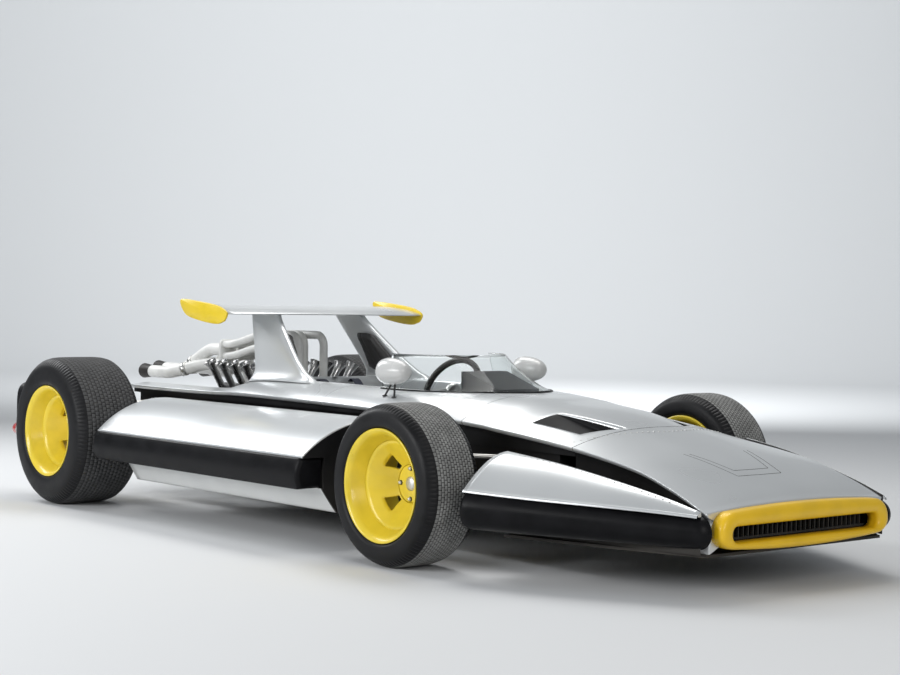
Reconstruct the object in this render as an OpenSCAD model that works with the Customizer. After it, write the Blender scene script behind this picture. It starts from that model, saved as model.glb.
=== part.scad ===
// Open wheel grand prix car of the late 1960s with padded side pods, a delta nose and a wing on two fins.
// Frame: X forward, Y to the car's left, Z up, origin on the ground under the middle of the car. Millimetres.

/* [Stance] */
// Distance between the front and the rear axle
wheelbase = 2400; // [2320:10:2480]
// Distance between the middles of the front tyres
front_track = 1594; // [1570:2:1630]
// Distance between the middles of the rear tyres
rear_track = 1624; // [1600:2:1660]
// Front axle to the tip of the nose ring
nose_reach = 1215; // [1180:5:1250]
// Rear axle to the back of the tail lamps
tail_reach = 560; // [540:5:600]
// Ground to the underside of the floor pan
ground_clearance = 140; // [125:5:150]

/* [Tyres] */
// Front tyre diameter
front_tyre_d = 594; // [580:2:610]
// Front tyre width
front_tyre_w = 250; // [240:2:260]
// Rear tyre diameter
rear_tyre_d = 674; // [660:2:690]
// Rear tyre width
rear_tyre_w = 332; // [320:2:344]
// How far each tyre wall bulges past the rim flange
tyre_bulge = 6; // [4:1:10]

/* [Rims] */
// Diameter over the rim flanges
rim_d = 414; // [400:2:424]
// Height of the rim flange above the bead seat
rim_flange = 16.5; // [14:0.5:20]
// Depth of the drop centre below the bead seat
rim_drop = 20; // [14:1:24]
// Sheet thickness of the rim barrel
rim_wall = 8; // [6:0.5:10]
// Front hub face behind the outer rim face
front_hub_depth = 157; // [140:1:165]
// Rear hub face behind the outer rim face
rear_hub_depth = 215; // [195:1:225]
// Thickness of the hub plate and the cone of spokes
hub_t = 16; // [12:1:20]
// Radius of the hub plate
hub_r = 75; // [68:1:82]
// Number of spokes
spokes = 4; // [3:1:6]
// Half angle of each window between the spokes, at its outer end
window_half_angle = 16; // [12:1:22]
// Length of each window out from the hub plate
window_len = 40; // [32:1:48]
// Stub axle diameter
axle_d = 44; // [38:1:50]
// Length of the stub axle behind the hub plate
axle_len = 80; // [74:1:86]

/* [Body] */
// Width over the cockpit shoulders
body_width = 930; // [900:5:950]
// Ground to the cockpit rim
deck_height = 610; // [595:5:625]
// Height where the cockpit shell sits on the monocoque
sill_height = 500; // [492:1:506]
// Height where the front hood sits on the monocoque
hood_seat_height = 420; // [405:1:425]
// Inset and drop of the dark wall below the silver edge
edge_step = 18; // [12:1:20]
// Gap between body panels
panel_gap = 3; // [2:0.5:5]
// Monocoque inside the cockpit shoulders, on each side
monocoque_inset = 60; // [55:1:75]
// Thickness of the monocoque's side tanks
side_tank = 115; // [105:1:125]
// Thickness of the floor pan
floor_t = 10; // [8:1:14]
// Thickness of the monocoque's own floor and bulkheads
bulkhead_t = 60; // [40:2:70]
// Width of the cockpit's coaming on each side of the opening
coaming = 180; // [175:1:190]
// Width of each rear deck beside the engine bay
rear_deck = 120; // [105:1:130]

/* [Nose] */
// Nose ring inside the nose cone's edge, on each side
ring_inset = 25; // [20:0.5:30]
// Height of the nose ring at its ends
ring_height = 150; // [140:2:156]
// Corner radius of the nose ring
ring_corner = 62; // [50:1:68]
// Depth of the nose ring from front to back
ring_depth = 52; // [40:1:60]
// Rise of the ring's upper edge in the middle
ring_crown = 16; // [12:1:18]
// Rise of the ring's lower edge to its ends
ring_lift = 20; // [10:1:26]
// Width of the ring at each end of the air slot
slot_end = 60; // [55:0.5:70]
// Height of the air slot
slot_height = 52; // [46:1:56]
// Height of the air slot's middle above the floor pan's top
slot_rise = 65; // [62:1:70]
// Number of grille bars
grille_bars = 29; // [21:2:37]
// Radiator inside the nose ring's width, on each side
radiator_inset = 102; // [97:1:117]
// Radiator height
radiator_height = 200; // [180:2:210]
// Radiator thickness
radiator_t = 50; // [40:1:60]

/* [Pods] */
// Width over the side pods' rubber
pod_width = 1910; // [1880:2:1920]
// Silver tops inside the rubber's outer face, on each side
rubber_overhang = 20; // [17:1:30]
// Inner width between the side pods as a share of the width over them
pod_gap_share = 0.5864; // [0.576:0.002:0.597]
// Radius of the side pods' crown
pod_crown_r = 454; // [440:2:470]
// Height of the side pods' crown
pod_height = 504; // [495:1:512]
// Height of the line between silver and rubber
rubber_top = 362; // [352:1:372]
// Height of the rubber's lower edge
rubber_bottom = 243; // [236:1:252]
// Depth of the side rubber
rubber_depth = 117; // [100:1:125]
// Radius of the front wheel arches
arch_r = 450; // [440:1:470]
// Thickness of the arch liners
liner_t = 8; // [6:1:12]
// Skirts' back ends ahead of the side pods' back ends
skirt_setback = 125; // [100:1:150]
// Gap between the side pods' ends and the rear tyres
pod_tyre_gap = 45; // [35:1:60]
// Radius of the front wheel arches in the front pods
pod_arch_r = 400; // [395:1:415]
// Diameter of the front rubber roll at its back end
roll_d = 150; // [140:1:154]
// Diameter of the front rubber roll at the nose
roll_tip_d = 113; // [105:1:118]

/* [Screen and cockpit] */
// Height of the windscreen's upper edge
screen_height = 742; // [725:1:755]
// Thickness of the windscreen
screen_t = 5; // [4:0.5:8]
// Steering wheel diameter
wheel_d = 310; // [280:2:330]
// Thickness of the steering wheel's rim
wheel_rim_d = 26; // [22:1:30]
// Diameter of the steering shaft
shaft_d = 20; // [18:1:24]
// Gap between the seat and the monocoque's side tanks
seat_side_gap = 40; // [20:1:60]
// Mirror diameter
mirror_d = 110; // [96:1:116]
// Mirror length
mirror_len = 150; // [130:1:160]

/* [Wing and fins] */
// Wing span between the end plates
wing_span = 1090; // [1040:5:1120]
// Wing chord
wing_chord = 375; // [350:5:390]
// Wing thickness
wing_t = 38; // [32:1:44]
// Height of the wing's leading edge
wing_height = 890; // [880:1:905]
// Rise of the wing from the leading to the trailing edge
wing_rise = 36; // [20:1:44]
// Thickness of the end plates
plate_t = 12; // [8:1:16]
// Thickness of the fins
fin_t = 40; // [32:1:46]
// Lean of the fins towards the middle
fin_lean = 17.4; // [14:0.2:19]
// Fins inside the cockpit shoulders at the deck, on each side
fin_inset = 140; // [135:1:150]
// Thickness of the head pads on the fins
pad_t = 80; // [60:1:90]

/* [Engine] */
// Angle between the two cylinder banks
bank_angle = 60; // [58:1:62]
// Cylinders in each bank
bank_cylinders = 6; // [4:1:6]
// Length from one cylinder to the next as a share of the wheelbase
pitch_share = 0.04; // [0.0385:0.0005:0.0405]
// Width of each bank
bank_width = 150; // [140:2:156]
// Length of each intake trumpet
trumpet_len = 182; // [160:2:186]
// Length of a trumpet's bell
bell_len = 40; // [34:1:46]
// Exhaust pipe diameter
pipe_d = 38; // [34:1:40]
// Tail pipe diameter
tail_d = 60; // [52:1:64]

/* [Tail] */
// Width of each rear rubber block
tail_pad_w = 262; // [240:2:280]
// Height of each rear rubber block
tail_pad_h = 290; // [270:2:310]
// Thickness of each rear rubber block
tail_pad_t = 90; // [80:1:100]
// Distance between the middles of the rear rubber blocks
tail_pad_spacing = 1482; // [1460:2:1500]
// Corner radius of the rear rubber blocks
tail_pad_r = 40; // [30:1:50]
// Ground to the lower edge of the rear rubber blocks
tail_pad_z = 250; // [240:1:260]
// Tail lamp diameter
lamp_d = 62; // [54:1:70]
// Tail lamp length
lamp_len = 60; // [50:1:64]
// Rear beam diameter
beam_d = 40; // [34:1:44]

/* [Suspension and steering] */
// Kingpin axis inboard of the tyre's middle
kingpin_offset = 97; // [92:1:100]
// Half height between the two ball joints of a knuckle
joint_rise = 105; // [100:1:110]
// Diameter of the pins in the wishbone eyes
pin_d = 20; // [18:1:24]
// Length of the steering arms
steer_arm = 100; // [92:1:104]
// Diameter of the wishbone tubes
tube_d = 22; // [20:1:26]
// Diameter of the tie rods
tie_d = 16; // [14:1:18]

/* [Clearances] */
// Radial play of a shaft in its bore
play = 0.05; // [0.02:0.01:0.08]
// Seat gap between pieces that rest on each other
seat_gap = 0.3; // [0.2:0.1:0.5]
// Play of the tie rod eye about its pin, for the open linkage
eye_play = 6; // [5.5:0.5:8]

/* [Hidden] */
$fn = 48;
overall_length = nose_reach + wheelbase + tail_reach;
monocoque_width = body_width - 2 * monocoque_inset;
cabin_width = monocoque_width - 2 * side_tank;
opening_width = body_width - 2 * coaming;
bay_width = body_width - 2 * rear_deck;
fin_spacing = body_width - 2 * fin_inset;
seat_width = cabin_width - 2 * seat_side_gap;
pod_half = pod_width / 2;
pod_top_width = pod_width - 2 * rubber_overhang;
pod_gap = pod_gap_share * pod_width;
cylinder_pitch = pitch_share * wheelbase;
x_front = overall_length / 2 - nose_reach;
x_rear = x_front - wheelbase;
x_tip = overall_length / 2;
floor_top = ground_clearance + floor_t;
front_rim_w = front_tyre_w - 2 * tyre_bulge;
rear_rim_w = rear_tyre_w - 2 * tyre_bulge;
bead_r = rim_d / 2 - rim_flange;
front_hub_y = front_track / 2 + front_rim_w / 2 - front_hub_depth - hub_t;
rear_hub_y = rear_track / 2 + rear_rim_w / 2 - rear_hub_depth - hub_t;
kingpin_y = front_track / 2 - kingpin_offset;
front_z = front_tyre_d / 2;
rear_z = rear_tyre_d / 2;
x_scuttle = x_front - 0.05 * wheelbase;
x_nose_seam = x_front + 0.412 * nose_reach;
x_ring = x_tip - 3 - ring_depth;
tail_beam_x = x_rear - tail_reach + lamp_len + tail_pad_t + seat_gap + beam_d / 2;
x_gearbox_back = x_rear - 0.096 * wheelbase;
x_bulkhead = x_front - 0.675 * wheelbase;
x_mono_front = x_front + 0.33 * nose_reach;
x_tail = x_rear - 0.055 * wheelbase;
x_pod_rear = x_rear + rear_tyre_d / 2 + pod_tyre_gap;
x_skirt = x_pod_rear + skirt_setback;
slot_z = floor_top + slot_rise;
rack_x = x_front - steer_arm;
rack_z = front_z + 50;
wheel_x = x_front - 0.283 * wheelbase;
wheel_z = deck_height - 25;
column = [rack_x - wheel_x, 0, rack_z - wheel_z];
column_tilt = atan2(-column[2], column[0]);
wing_x = x_front - 0.65 * wheelbase;
engine_len = bank_cylinders * cylinder_pitch + 44;
x_engine_back = x_bulkhead - engine_len;
bank_z = floor_top + 90;
bank_len = 300;
gearbox_half = 140;
tail_beam_z = bank_z + 140;

// Body stations. Columns: place (share of the wheelbase behind the front axle, of the nose reach ahead of
// it), half width (share of the half body width), edge and crown height (share of the deck height) and
// squareness.
BODY = [[-1.054, 0.978, 0.877, 0.905, 4], [-0.875, 0.989, 0.877, 0.907, 4], [-0.75, 0.994, 0.882, 0.915, 5],
    [-0.675, 0.996, 0.89, 0.989, 6], [-0.5, 1, 0.885, 1, 6.5], [-0.333, 0.996, 0.875, 1, 6],
    [-0.208, 0.972, 0.862, 0.997, 5], [-0.125, 0.946, 0.849, 0.993, 4], [-0.05, 0.92, 0.833, 0.984, 3],
    [0.041, 0.912, 0.81, 0.957, 2.7], [0.206, 0.925, 0.782, 0.918, 2.5], [0.37, 0.946, 0.751, 0.856, 2.3],
    [0.535, 0.963, 0.71, 0.779, 2.2], [0.7, 0.981, 0.651, 0.695, 2.2], [0.823, 0.996, 0.574, 0.611, 2.2],
    [0.905, 1.009, 0.51, 0.549, 2.2], [0.955, 1.015, 0.464, 0.5, 2.2]];
BODY_HALF = 1;
BODY_EDGE = 2;
BODY_CROWN = 3;
BODY_SQUARE = 4;
crown_steps = 22;

// Front pod stations. Columns: place (share of the nose reach ahead of the front axle), inner edge (share of
// the way from the ring's side to the side pods' outer face) and its height (share of the deck height), the
// same two of the outer edge.
FRONT_POD = [[0.29, 0.345, 0.724, 0.848, 0.527], [0.497, 0.262, 0.674, 0.607, 0.504],
    [0.695, 0.165, 0.602, 0.381, 0.49], [0.85, 0.082, 0.533, 0.185, 0.476],
    [0.948, 0.03, 0.478, 0.062, 0.463]];
POD_IN = 1;
POD_IN_Z = 2;
POD_OUT = 3;
POD_OUT_Z = 4;

function row_below(t, s, i = 0) = i + 2 >= len(t) || s < t[i + 1][0] ? i : row_below(t, s, i + 1);
function slope(t, i, c) = let (a = max(i - 1, 0), b = min(i + 1, len(t) - 1))
    (t[b][c] - t[a][c]) / (t[b][0] - t[a][0]);
// Value of a table's column at a place between its rows, on a smooth curve through them
function smooth(t, s, c) = let (i = row_below(t, s), h = t[i + 1][0] - t[i][0], u = (s - t[i][0]) / h)
    t[i][c] * (2 * u * u * u - 3 * u * u + 1) + t[i + 1][c] * (3 * u * u - 2 * u * u * u)
    + h * slope(t, i, c) * (u * u * u - 2 * u * u + u) + h * slope(t, i + 1, c) * (u * u * u - u * u);
function share(x) = x < x_front ? (x - x_front) / wheelbase : (x - x_front) / nose_reach;
function body_half(x) = smooth(BODY, share(x), BODY_HALF) * body_width / 2;
function body_edge(x) = smooth(BODY, share(x), BODY_EDGE) * deck_height;
function body_crown(x) = smooth(BODY, share(x), BODY_CROWN) * deck_height;
function body_square(x) = smooth(BODY, share(x), BODY_SQUARE);
// Height of the body's skin over a place in plan
function body_z(x, y) = body_edge(x)
    + (body_crown(x) - body_edge(x)) * (1 - pow(min(1, abs(y) / body_half(x)), body_square(x)));
// The nose ring goes with the body's width where the nose cone ends
nose_end_half = body_half(x_ring);
ring_half = nose_end_half - ring_inset;
ring_width = 2 * ring_half;
slot_width = ring_width - 2 * slot_end;
radiator_width = ring_width - 2 * radiator_inset;
// A place across the car between the nose's side and the side pods' outer face
function nose_span(share) = nose_end_half + share * (pod_half - nose_end_half);
// One closed section of the body, from the middle of its flat underside round the crown
function body_ring(x, z) = let (w = body_half(x), e = body_edge(x)) concat(
    [[x, 0, z], [x, edge_step - w, z], [x, edge_step - w, e - edge_step]],
    [for (k = [0 : crown_steps]) let (y = -w * cos(180 * k / crown_steps)) [x, y, body_z(x, y)]],
    [[x, w - edge_step, e - edge_step], [x, w - edge_step, z]]);

// Solid skin through rings with the same number of points, each cap a fan from the ring's first point
module skin(rings) {
    n = len(rings[0]);
    m = len(rings) - 1;
    polyhedron(
        points = [for (ring = rings, p = ring) p],
        faces = concat(
            [for (k = [1 : n - 2]) [0, k, k + 1]],
            [for (i = [0 : m - 1], k = [0 : n - 1]) let (a = i * n + k, b = i * n + (k + 1) % n)
                [a, a + n, b]],
            [for (i = [0 : m - 1], k = [0 : n - 1]) let (a = i * n + k, b = i * n + (k + 1) % n)
                [a + n, b + n, b]],
            [for (k = [1 : n - 2]) [m * n, m * n + k + 1, m * n + k]]));
}

// Thin sheet between two grids of points with the same rows and columns
module sheet(front, back) {
    r = len(front);
    c = len(front[0]);
    s = r * c;
    edge = concat([for (j = [0 : c - 2]) j], [for (i = [0 : r - 2]) i * c + c - 1],
        [for (j = [c - 1 : -1 : 1]) (r - 1) * c + j], [for (i = [r - 1 : -1 : 1]) i * c]);
    e = len(edge);
    polyhedron(
        points = concat([for (row = front, p = row) p], [for (row = back, p = row) p]),
        faces = concat(
            [for (i = [0 : r - 2], j = [0 : c - 2]) let (a = i * c + j) [a, a + c, a + 1]],
            [for (i = [0 : r - 2], j = [0 : c - 2]) let (a = i * c + j) [a + 1, a + c, a + c + 1]],
            [for (i = [0 : r - 2], j = [0 : c - 2]) let (a = s + i * c + j) [a, a + 1, a + c]],
            [for (i = [0 : r - 2], j = [0 : c - 2]) let (a = s + i * c + j) [a + 1, a + c + 1, a + c]],
            [for (k = [0 : e - 1]) let (a = edge[k], b = edge[(k + 1) % e]) [a, b, a + s]],
            [for (k = [0 : e - 1]) let (a = edge[k], b = edge[(k + 1) % e]) [b, b + s, a + s]]));
}

// A section drawn as (y, z), run along X
module along_x(x0, x1) {
    translate([x0, 0, 0]) rotate([90, 0, 90]) linear_extrude(x1 - x0) children();
}

// A profile drawn as (x, z), run across Y
module across_y(y0, y1) {
    translate([0, y1, 0]) rotate([90, 0, 0]) linear_extrude(y1 - y0) children();
}

// A round rod from one point to another
module rod(p, q, d) {
    v = q - p;
    translate(p) rotate([0, acos(v[2] / norm(v)), atan2(v[1], v[0])]) cylinder(h = norm(v), d = d);
}

module both_sides() {
    children();
    mirror([0, 1, 0]) children();
}

// Turns a wheel drawn about its own axis, outer face up, to its place on the left (1) or right (-1)
module at_wheel(side, x, track, d) {
    mirror([0, side < 0 ? 1 : 0, 0]) translate([x, track / 2, d / 2]) rotate([-90, 0, 0]) children();
}

// The round space about the front wheel, across the whole car
module front_arch(r) {
    translate([x_front, 0, front_z]) rotate([90, 0, 0]) cylinder(h = 2 * pod_width, r = r, center = true);
}

module floor_pan() {
    skirt_y = pod_half - rubber_depth - 120;
    color("dimgray") translate([0, 0, ground_clearance]) linear_extrude(floor_t) {
        both_sides() polygon([[x_ring, 0], [x_front + pod_arch_r, 0], [x_front + pod_arch_r, nose_span(0.41)],
            [x_front + 0.7 * nose_reach, nose_span(0.18)], [x_ring, nose_end_half - 10]]);
        translate([x_bulkhead, -monocoque_width / 2])
            square([x_ring - x_bulkhead - 100, monocoque_width]);
        translate([x_skirt, -skirt_y]) square([x_front - arch_r - x_skirt, 2 * skirt_y]);
    }
}

module monocoque() {
    color("dimgray") difference() {
        across_y(-monocoque_width / 2, monocoque_width / 2)
            polygon([[x_bulkhead, floor_top], [x_mono_front, floor_top], [x_mono_front, hood_seat_height],
                [x_scuttle, hood_seat_height], [x_scuttle, sill_height], [x_bulkhead, sill_height]]);
        translate([x_bulkhead + bulkhead_t, -cabin_width / 2, floor_top + 15])
            cube([x_mono_front - x_bulkhead - 2 * bulkhead_t, cabin_width, sill_height]);
        translate([rack_x, 0, rack_z]) rotate([90, 0, 0])
            cylinder(h = 2 * monocoque_width, d = tie_d + 34, center = true);
    }
}

// Plan of the cockpit opening: square at the back, a half ellipse in front
module opening_plan() {
    x0 = x_bulkhead + 120;
    x1 = x_front - 0.3125 * wheelbase;
    reach = x_scuttle - 95 - x1;
    polygon(concat([[x0, -opening_width / 2]],
        [for (k = [0 : 18]) [x1 + reach * sin(k * 10), -opening_width / 2 * cos(k * 10)]],
        [[x0, opening_width / 2]]));
}

module cockpit_shell() {
    n = 20;
    x1 = x_scuttle - panel_gap / 2;
    color("silver") difference() {
        skin([for (i = [0 : n]) body_ring(x_tail + (x1 - x_tail) * i / n, sill_height)]);
        linear_extrude(2 * deck_height) opening_plan();
        translate([x_tail - 10, -bay_width / 2, 0])
            cube([x_bulkhead - x_tail + 10, bay_width, 2 * deck_height]);
    }
}

// Radiator outlets of the hood: a ramp that sinks from the back edge to the front lip.
// Columns of the hood's grid: y of the flat part, then shares of what is left to the edge.
HOOD_Y = [0, 75, 145, 152, 215, 280, 338, 345];
HOOD_EDGE = [0.35, 0.65, 0.85, 0.96, 1];
// Rows of the hood's grid: behind the outlet, along it, and ahead of its lip, as shares of each stretch
HOOD_ROWS = [[0, 0], [0, 0.35], [0, 0.7], [1, 0], [1, 0.3], [1, 0.6], [1, 1], [2, 0], [2, 0.5], [2, 1]];
outlet_depth = 62;
lip_slope = 7;
outlet_scale = body_width / 930;
outlet_in = 150 * outlet_scale;
outlet_out = 340 * outlet_scale;
function outlet_share(y) = max(0, min(1, (outlet_out + 5 - abs(y)) / (outlet_out - outlet_in + 10)));
function outlet_rear(y) = x_front + 0.148 * nose_reach + 44 * outlet_share(y);
function outlet_lip(y) = x_front + 0.356 * nose_reach + 0.048 * nose_reach * outlet_share(y);
function hood_x(row, y) = let (x0 = x_scuttle + panel_gap / 2, x1 = x_nose_seam - panel_gap / 2)
    row[0] == 0 ? x0 + (outlet_rear(y) - x0) * row[1] : row[0] == 1
    ? outlet_rear(y) + (outlet_lip(y) - outlet_rear(y)) * row[1]
    : outlet_lip(y) + lip_slope + (x1 - outlet_lip(y) - lip_slope) * row[1];
function hood_top(row, y) = let (x = hood_x(row, y),
    open = abs(y) > outlet_in && abs(y) < outlet_out && row[0] == 1)
    [x, y, body_z(x, y) - (open ? outlet_depth * row[1] : 0)];
function hood_column(row, k) = let (h = len(HOOD_Y), j = abs(k), y = HOOD_Y[h - 1] * outlet_scale,
    w = body_half(hood_x(row, body_width)))
    sign(k) * (j < h ? HOOD_Y[j] * outlet_scale : y + (w - y) * HOOD_EDGE[j - h]);

module front_hood() {
    n = len(HOOD_Y) + len(HOOD_EDGE) - 1;
    m = len(HOOD_ROWS) - 1;
    top = [for (i = [m : -1 : 0]) [for (k = [-n : n]) hood_top(HOOD_ROWS[i], hood_column(HOOD_ROWS[i], k))]];
    color("silver") sheet(top, [for (row = top) [for (q = row)
        [q[0], q[1] * (1 - edge_step / body_half(q[0])), hood_seat_height]]]);
}

// Slot of the nose: a flat oval
module slot_plan(grow = 0) {
    r = slot_height / 2 + grow;
    for (s = [-1, 1]) translate([s * (slot_width - slot_height) / 2, slot_z]) circle(r);
    translate([-(slot_width - slot_height) / 2, slot_z - r]) square([slot_width - slot_height, 2 * r]);
}

module nose_cone() {
    n = 10;
    x0 = x_nose_seam + panel_gap / 2;
    mouth = x_ring - 22;
    low = floor_top + 15;
    x_rad = x_front + 0.62 * nose_reach;
    rw = radiator_width / 2;
    sw = slot_width / 2;
    color("silver") difference() {
        skin([for (i = [0 : n]) body_ring(x0 + (x_ring - x0) * i / n, floor_top)]);
        along_x(mouth - 1, x_ring + 1) slot_plan();
        polyhedron(
            points = [[x_rad, -rw, low], [x_rad, rw, low], [x_rad, rw, low + radiator_height],
                [x_rad, -rw, low + radiator_height], [mouth, -sw, slot_z - slot_height / 2],
                [mouth, sw, slot_z - slot_height / 2], [mouth, sw, slot_z + slot_height / 2],
                [mouth, -sw, slot_z + slot_height / 2]],
            faces = [[0, 1, 2], [0, 2, 3], [4, 6, 5], [4, 7, 6], [0, 4, 1], [1, 4, 5], [1, 5, 2], [2, 5, 6],
                [2, 6, 3], [3, 6, 7], [3, 7, 0], [0, 7, 4]]);
        translate([x0 - 10, -rw, low]) cube([x_rad - x0 + 10.5, radiator_width, radiator_height]);
    }
}

// Outline of the nose ring at one depth: a box with round corners, a crowned top and ends that climb
function ring_bend(y, z, w, z0, r) = let (q = y * y / w / w)
    z + (z > slot_z ? ring_crown * (1 - q) : ring_lift * q * max(0, 1 - (z - z0) / r));
function ring_outline(x, inset) = let (w = ring_half - inset, r = ring_corner - inset,
    z0 = floor_top + 2 + inset, z1 = floor_top + ring_height - 14 - inset, flat = w - r, n = 6)
    [for (p = concat(
        [for (k = [0 : n]) [flat + r * sin(90 * k / n), z0 + r - r * cos(90 * k / n)]],
        [for (k = [0 : n]) [flat + r * cos(90 * k / n), z1 - r + r * sin(90 * k / n)]],
        [for (k = [1 : n]) [flat - 2 * flat * k / n, z1]],
        [for (k = [1 : n]) [-flat - r * sin(90 * k / n), z1 - r + r * cos(90 * k / n)]],
        [for (k = [0 : n]) [-flat - r * cos(90 * k / n), z0 + r - r * sin(90 * k / n)]],
        [for (k = [1 : n - 1]) [2 * flat * k / n - flat, z0]])) [x, p[0], ring_bend(p[0], p[1], w, z0, r)]];

module nose_ring() {
    color("gold") difference() {
        skin([for (s = [[0, 0], [0.55, 0], [0.8, 5], [0.94, 14], [1, 24]])
            ring_outline(x_ring + seat_gap + s[0] * (ring_depth + 3 - seat_gap), s[1])]);
        along_x(x_ring - 1, x_tip + 1) slot_plan();
    }
}

module grille() {
    bar_w = 5;
    pitch = (slot_width - slot_height - 20) / (grille_bars - 1);
    x0 = x_ring - 18;
    color("dimgray") intersection() {
        along_x(x0, x0 + 10) slot_plan(-seat_gap);
        union() {
            for (k = [0 : grille_bars - 1])
                translate([x0, (k - (grille_bars - 1) / 2) * pitch - bar_w / 2, slot_z - slot_height])
                    cube([10, bar_w, 2 * slot_height]);
            translate([x0, -slot_width / 2, slot_z - slot_height / 2]) cube([10, slot_width, 8]);
        }
    }
}

module radiator() {
    x = x_front + 0.56 * nose_reach;
    color("dimgray") translate([x, -radiator_width / 2, floor_top + 15])
        cube([radiator_t, radiator_width, radiator_height]);
}

// Rubber roll beside the nose: a straight tapered bar with ball ends, spun about its own axis
roll_rear = [x_front + 0.33 * nose_reach, nose_span(0.68), floor_top + 100];
roll_front = [x_front + 0.932 * nose_reach, nose_end_half - 6, floor_top + 72];
roll_gap = 2;
function roll_r(m) = (roll_d + m * (roll_tip_d - roll_d)) / 2;
module rubber_roll() {
    v = roll_front - roll_rear;
    translate(roll_rear) rotate([0, acos(v[2] / norm(v)), atan2(v[1], v[0])])
        rotate_extrude() intersection() {
            union() {
                circle(d = roll_d);
                translate([0, norm(v)]) circle(d = roll_tip_d);
                polygon([[0, 0], [roll_r(0), 0], [roll_r(1), norm(v)], [0, norm(v)]]);
            }
            translate([0, -roll_d]) square([roll_d, norm(v) + 2 * roll_d]);
        }
}

// Left front pod: its skin and its underside, which climbs from the floor pan over the rubber roll.
// s is the share of the nose reach, t runs from the inner to the outer edge.
function pod_y(s, t) = nose_span(smooth(FRONT_POD, s, POD_IN) * (1 - t) + smooth(FRONT_POD, s, POD_OUT) * t);
function pod_top(s, t) = [x_front + s * nose_reach, pod_y(s, t), deck_height
    * (smooth(FRONT_POD, s, POD_IN_Z) * (1 - t) + smooth(FRONT_POD, s, POD_OUT_Z) * t)
    + 0.42 * (pod_y(s, 1) - pod_y(s, 0)) * t * (1 - t)];
function pod_under(s, t) = let (x = x_front + s * nose_reach, y = pod_y(s, t),
    m = (x - roll_rear[0]) / (roll_front[0] - roll_rear[0]), r = roll_r(m) + roll_gap,
    yc = roll_rear[1] + m * (roll_front[1] - roll_rear[1]),
    zc = roll_rear[2] + m * (roll_front[2] - roll_rear[2]), q = (y - yc) / (1.12 * r),
    ramp = floor_top + (zc + 0.45 * r - floor_top) * max(0, min(1, (y - yc + 1.12 * r + 60) / 40)))
    [x, y, max(ramp, abs(q) < 1 ? zc + r * sqrt(1 - q * q) : 0)];

module front_pods() {
    n = 10;
    c = 12;
    s0 = FRONT_POD[0][0];
    s1 = FRONT_POD[len(FRONT_POD) - 1][0];
    color("silver") both_sides() difference() {
        sheet([for (i = [n : -1 : 0]) [for (k = [0 : c]) pod_top(s0 + (s1 - s0) * i / n, k / c)]],
            [for (i = [n : -1 : 0]) [for (k = [0 : c]) pod_under(s0 + (s1 - s0) * i / n, k / c)]]);
        front_arch(pod_arch_r);
    }
}

module front_rubber() {
    color("dimgray") both_sides() difference() {
        rubber_roll();
        front_arch(pod_arch_r);
        translate([x_front, -pod_half, 0])
            cube([2 * nose_reach, pod_half + nose_end_half + 1.5, 2 * deck_height]);
    }
}

// Left side pod sections as (y, z)
module pod_crown() {
    intersection() {
        translate([pod_top_width / 2 - 325, pod_height - pod_crown_r]) circle(pod_crown_r, $fn = 96);
        translate([pod_gap / 2, rubber_top]) square([(pod_top_width - pod_gap) / 2, pod_height]);
    }
}

module pod_core() {
    translate([pod_gap / 2, rubber_bottom])
        square([pod_width / 2 - rubber_depth - pod_gap / 2, rubber_top - rubber_bottom]);
}

module rubber_section() {
    h = rubber_top - rubber_bottom;
    y0 = pod_width / 2 - rubber_depth;
    intersection() {
        translate([y0, rubber_bottom]) square([rubber_depth, h]);
        translate([pod_width / 2 - 130, rubber_bottom + h / 2 - 4]) circle(130, $fn = 96);
    }
}

module skirt_section() {
    y = pod_width / 2 - rubber_depth;
    polygon([[pod_gap / 2, floor_top], [y - 48, floor_top], [y + 8, rubber_bottom],
        [pod_gap / 2, rubber_bottom]]);
}

module side_pods() {
    color("silver") both_sides() difference() {
        along_x(x_pod_rear, x_front) union() {
            pod_crown();
            pod_core();
        }
        front_arch(arch_r);
    }
}

module side_rubber() {
    color("dimgray") both_sides() difference() {
        along_x(x_pod_rear - 22, x_front) rubber_section();
        front_arch(arch_r);
    }
}

module side_skirts() {
    color("silver") both_sides() difference() {
        along_x(x_skirt, x_front) skirt_section();
        front_arch(arch_r);
        translate([x_skirt, 0, floor_top]) rotate([0, -50, 0])
            translate([-600, 0, -10]) cube([600, pod_width, 600]);
    }
}

// Dark skins of the wheel arches in front of the side pods
module arch_liners() {
    color("dimgray") both_sides() intersection() {
        difference() {
            front_arch(arch_r - seat_gap);
            front_arch(arch_r - liner_t);
        }
        along_x(x_front - 2 * arch_r, x_front) union() {
            pod_crown();
            pod_core();
            skirt_section();
        }
    }
}

// Windscreen: a wrapped sheet from the foot on the shell to the upper edge. u runs round, v runs up.
function screen_point(u, v, out) = let (x1 = x_front - 0.3125 * wheelbase, a = -90 + 180 * u,
    reach_foot = x_scuttle - 45 - x1, reach_top = 0.112 * wheelbase,
    xf = x1 + (reach_foot + out) * cos(a), yf = (opening_width / 2 + 42 + out) * sin(a),
    xt = x1 + (reach_top + out) * cos(a), yt = (opening_width / 2 - 18 + out) * sin(a),
    zf = body_z(xf, yf) + seat_gap)
    [xf + (xt - xf) * v, yf + (yt - yf) * v, zf + (screen_height - zf) * (0.55 * v + 0.45 * v * v)];

module windscreen() {
    nu = 24;
    nv = 6;
    color("lightblue") sheet(
        [for (j = [0 : nv]) [for (i = [0 : nu]) screen_point(i / nu, j / nv, 0)]],
        [for (j = [0 : nv]) [for (i = [0 : nu]) screen_point(i / nu, j / nv, -screen_t)]]);
}

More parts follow.
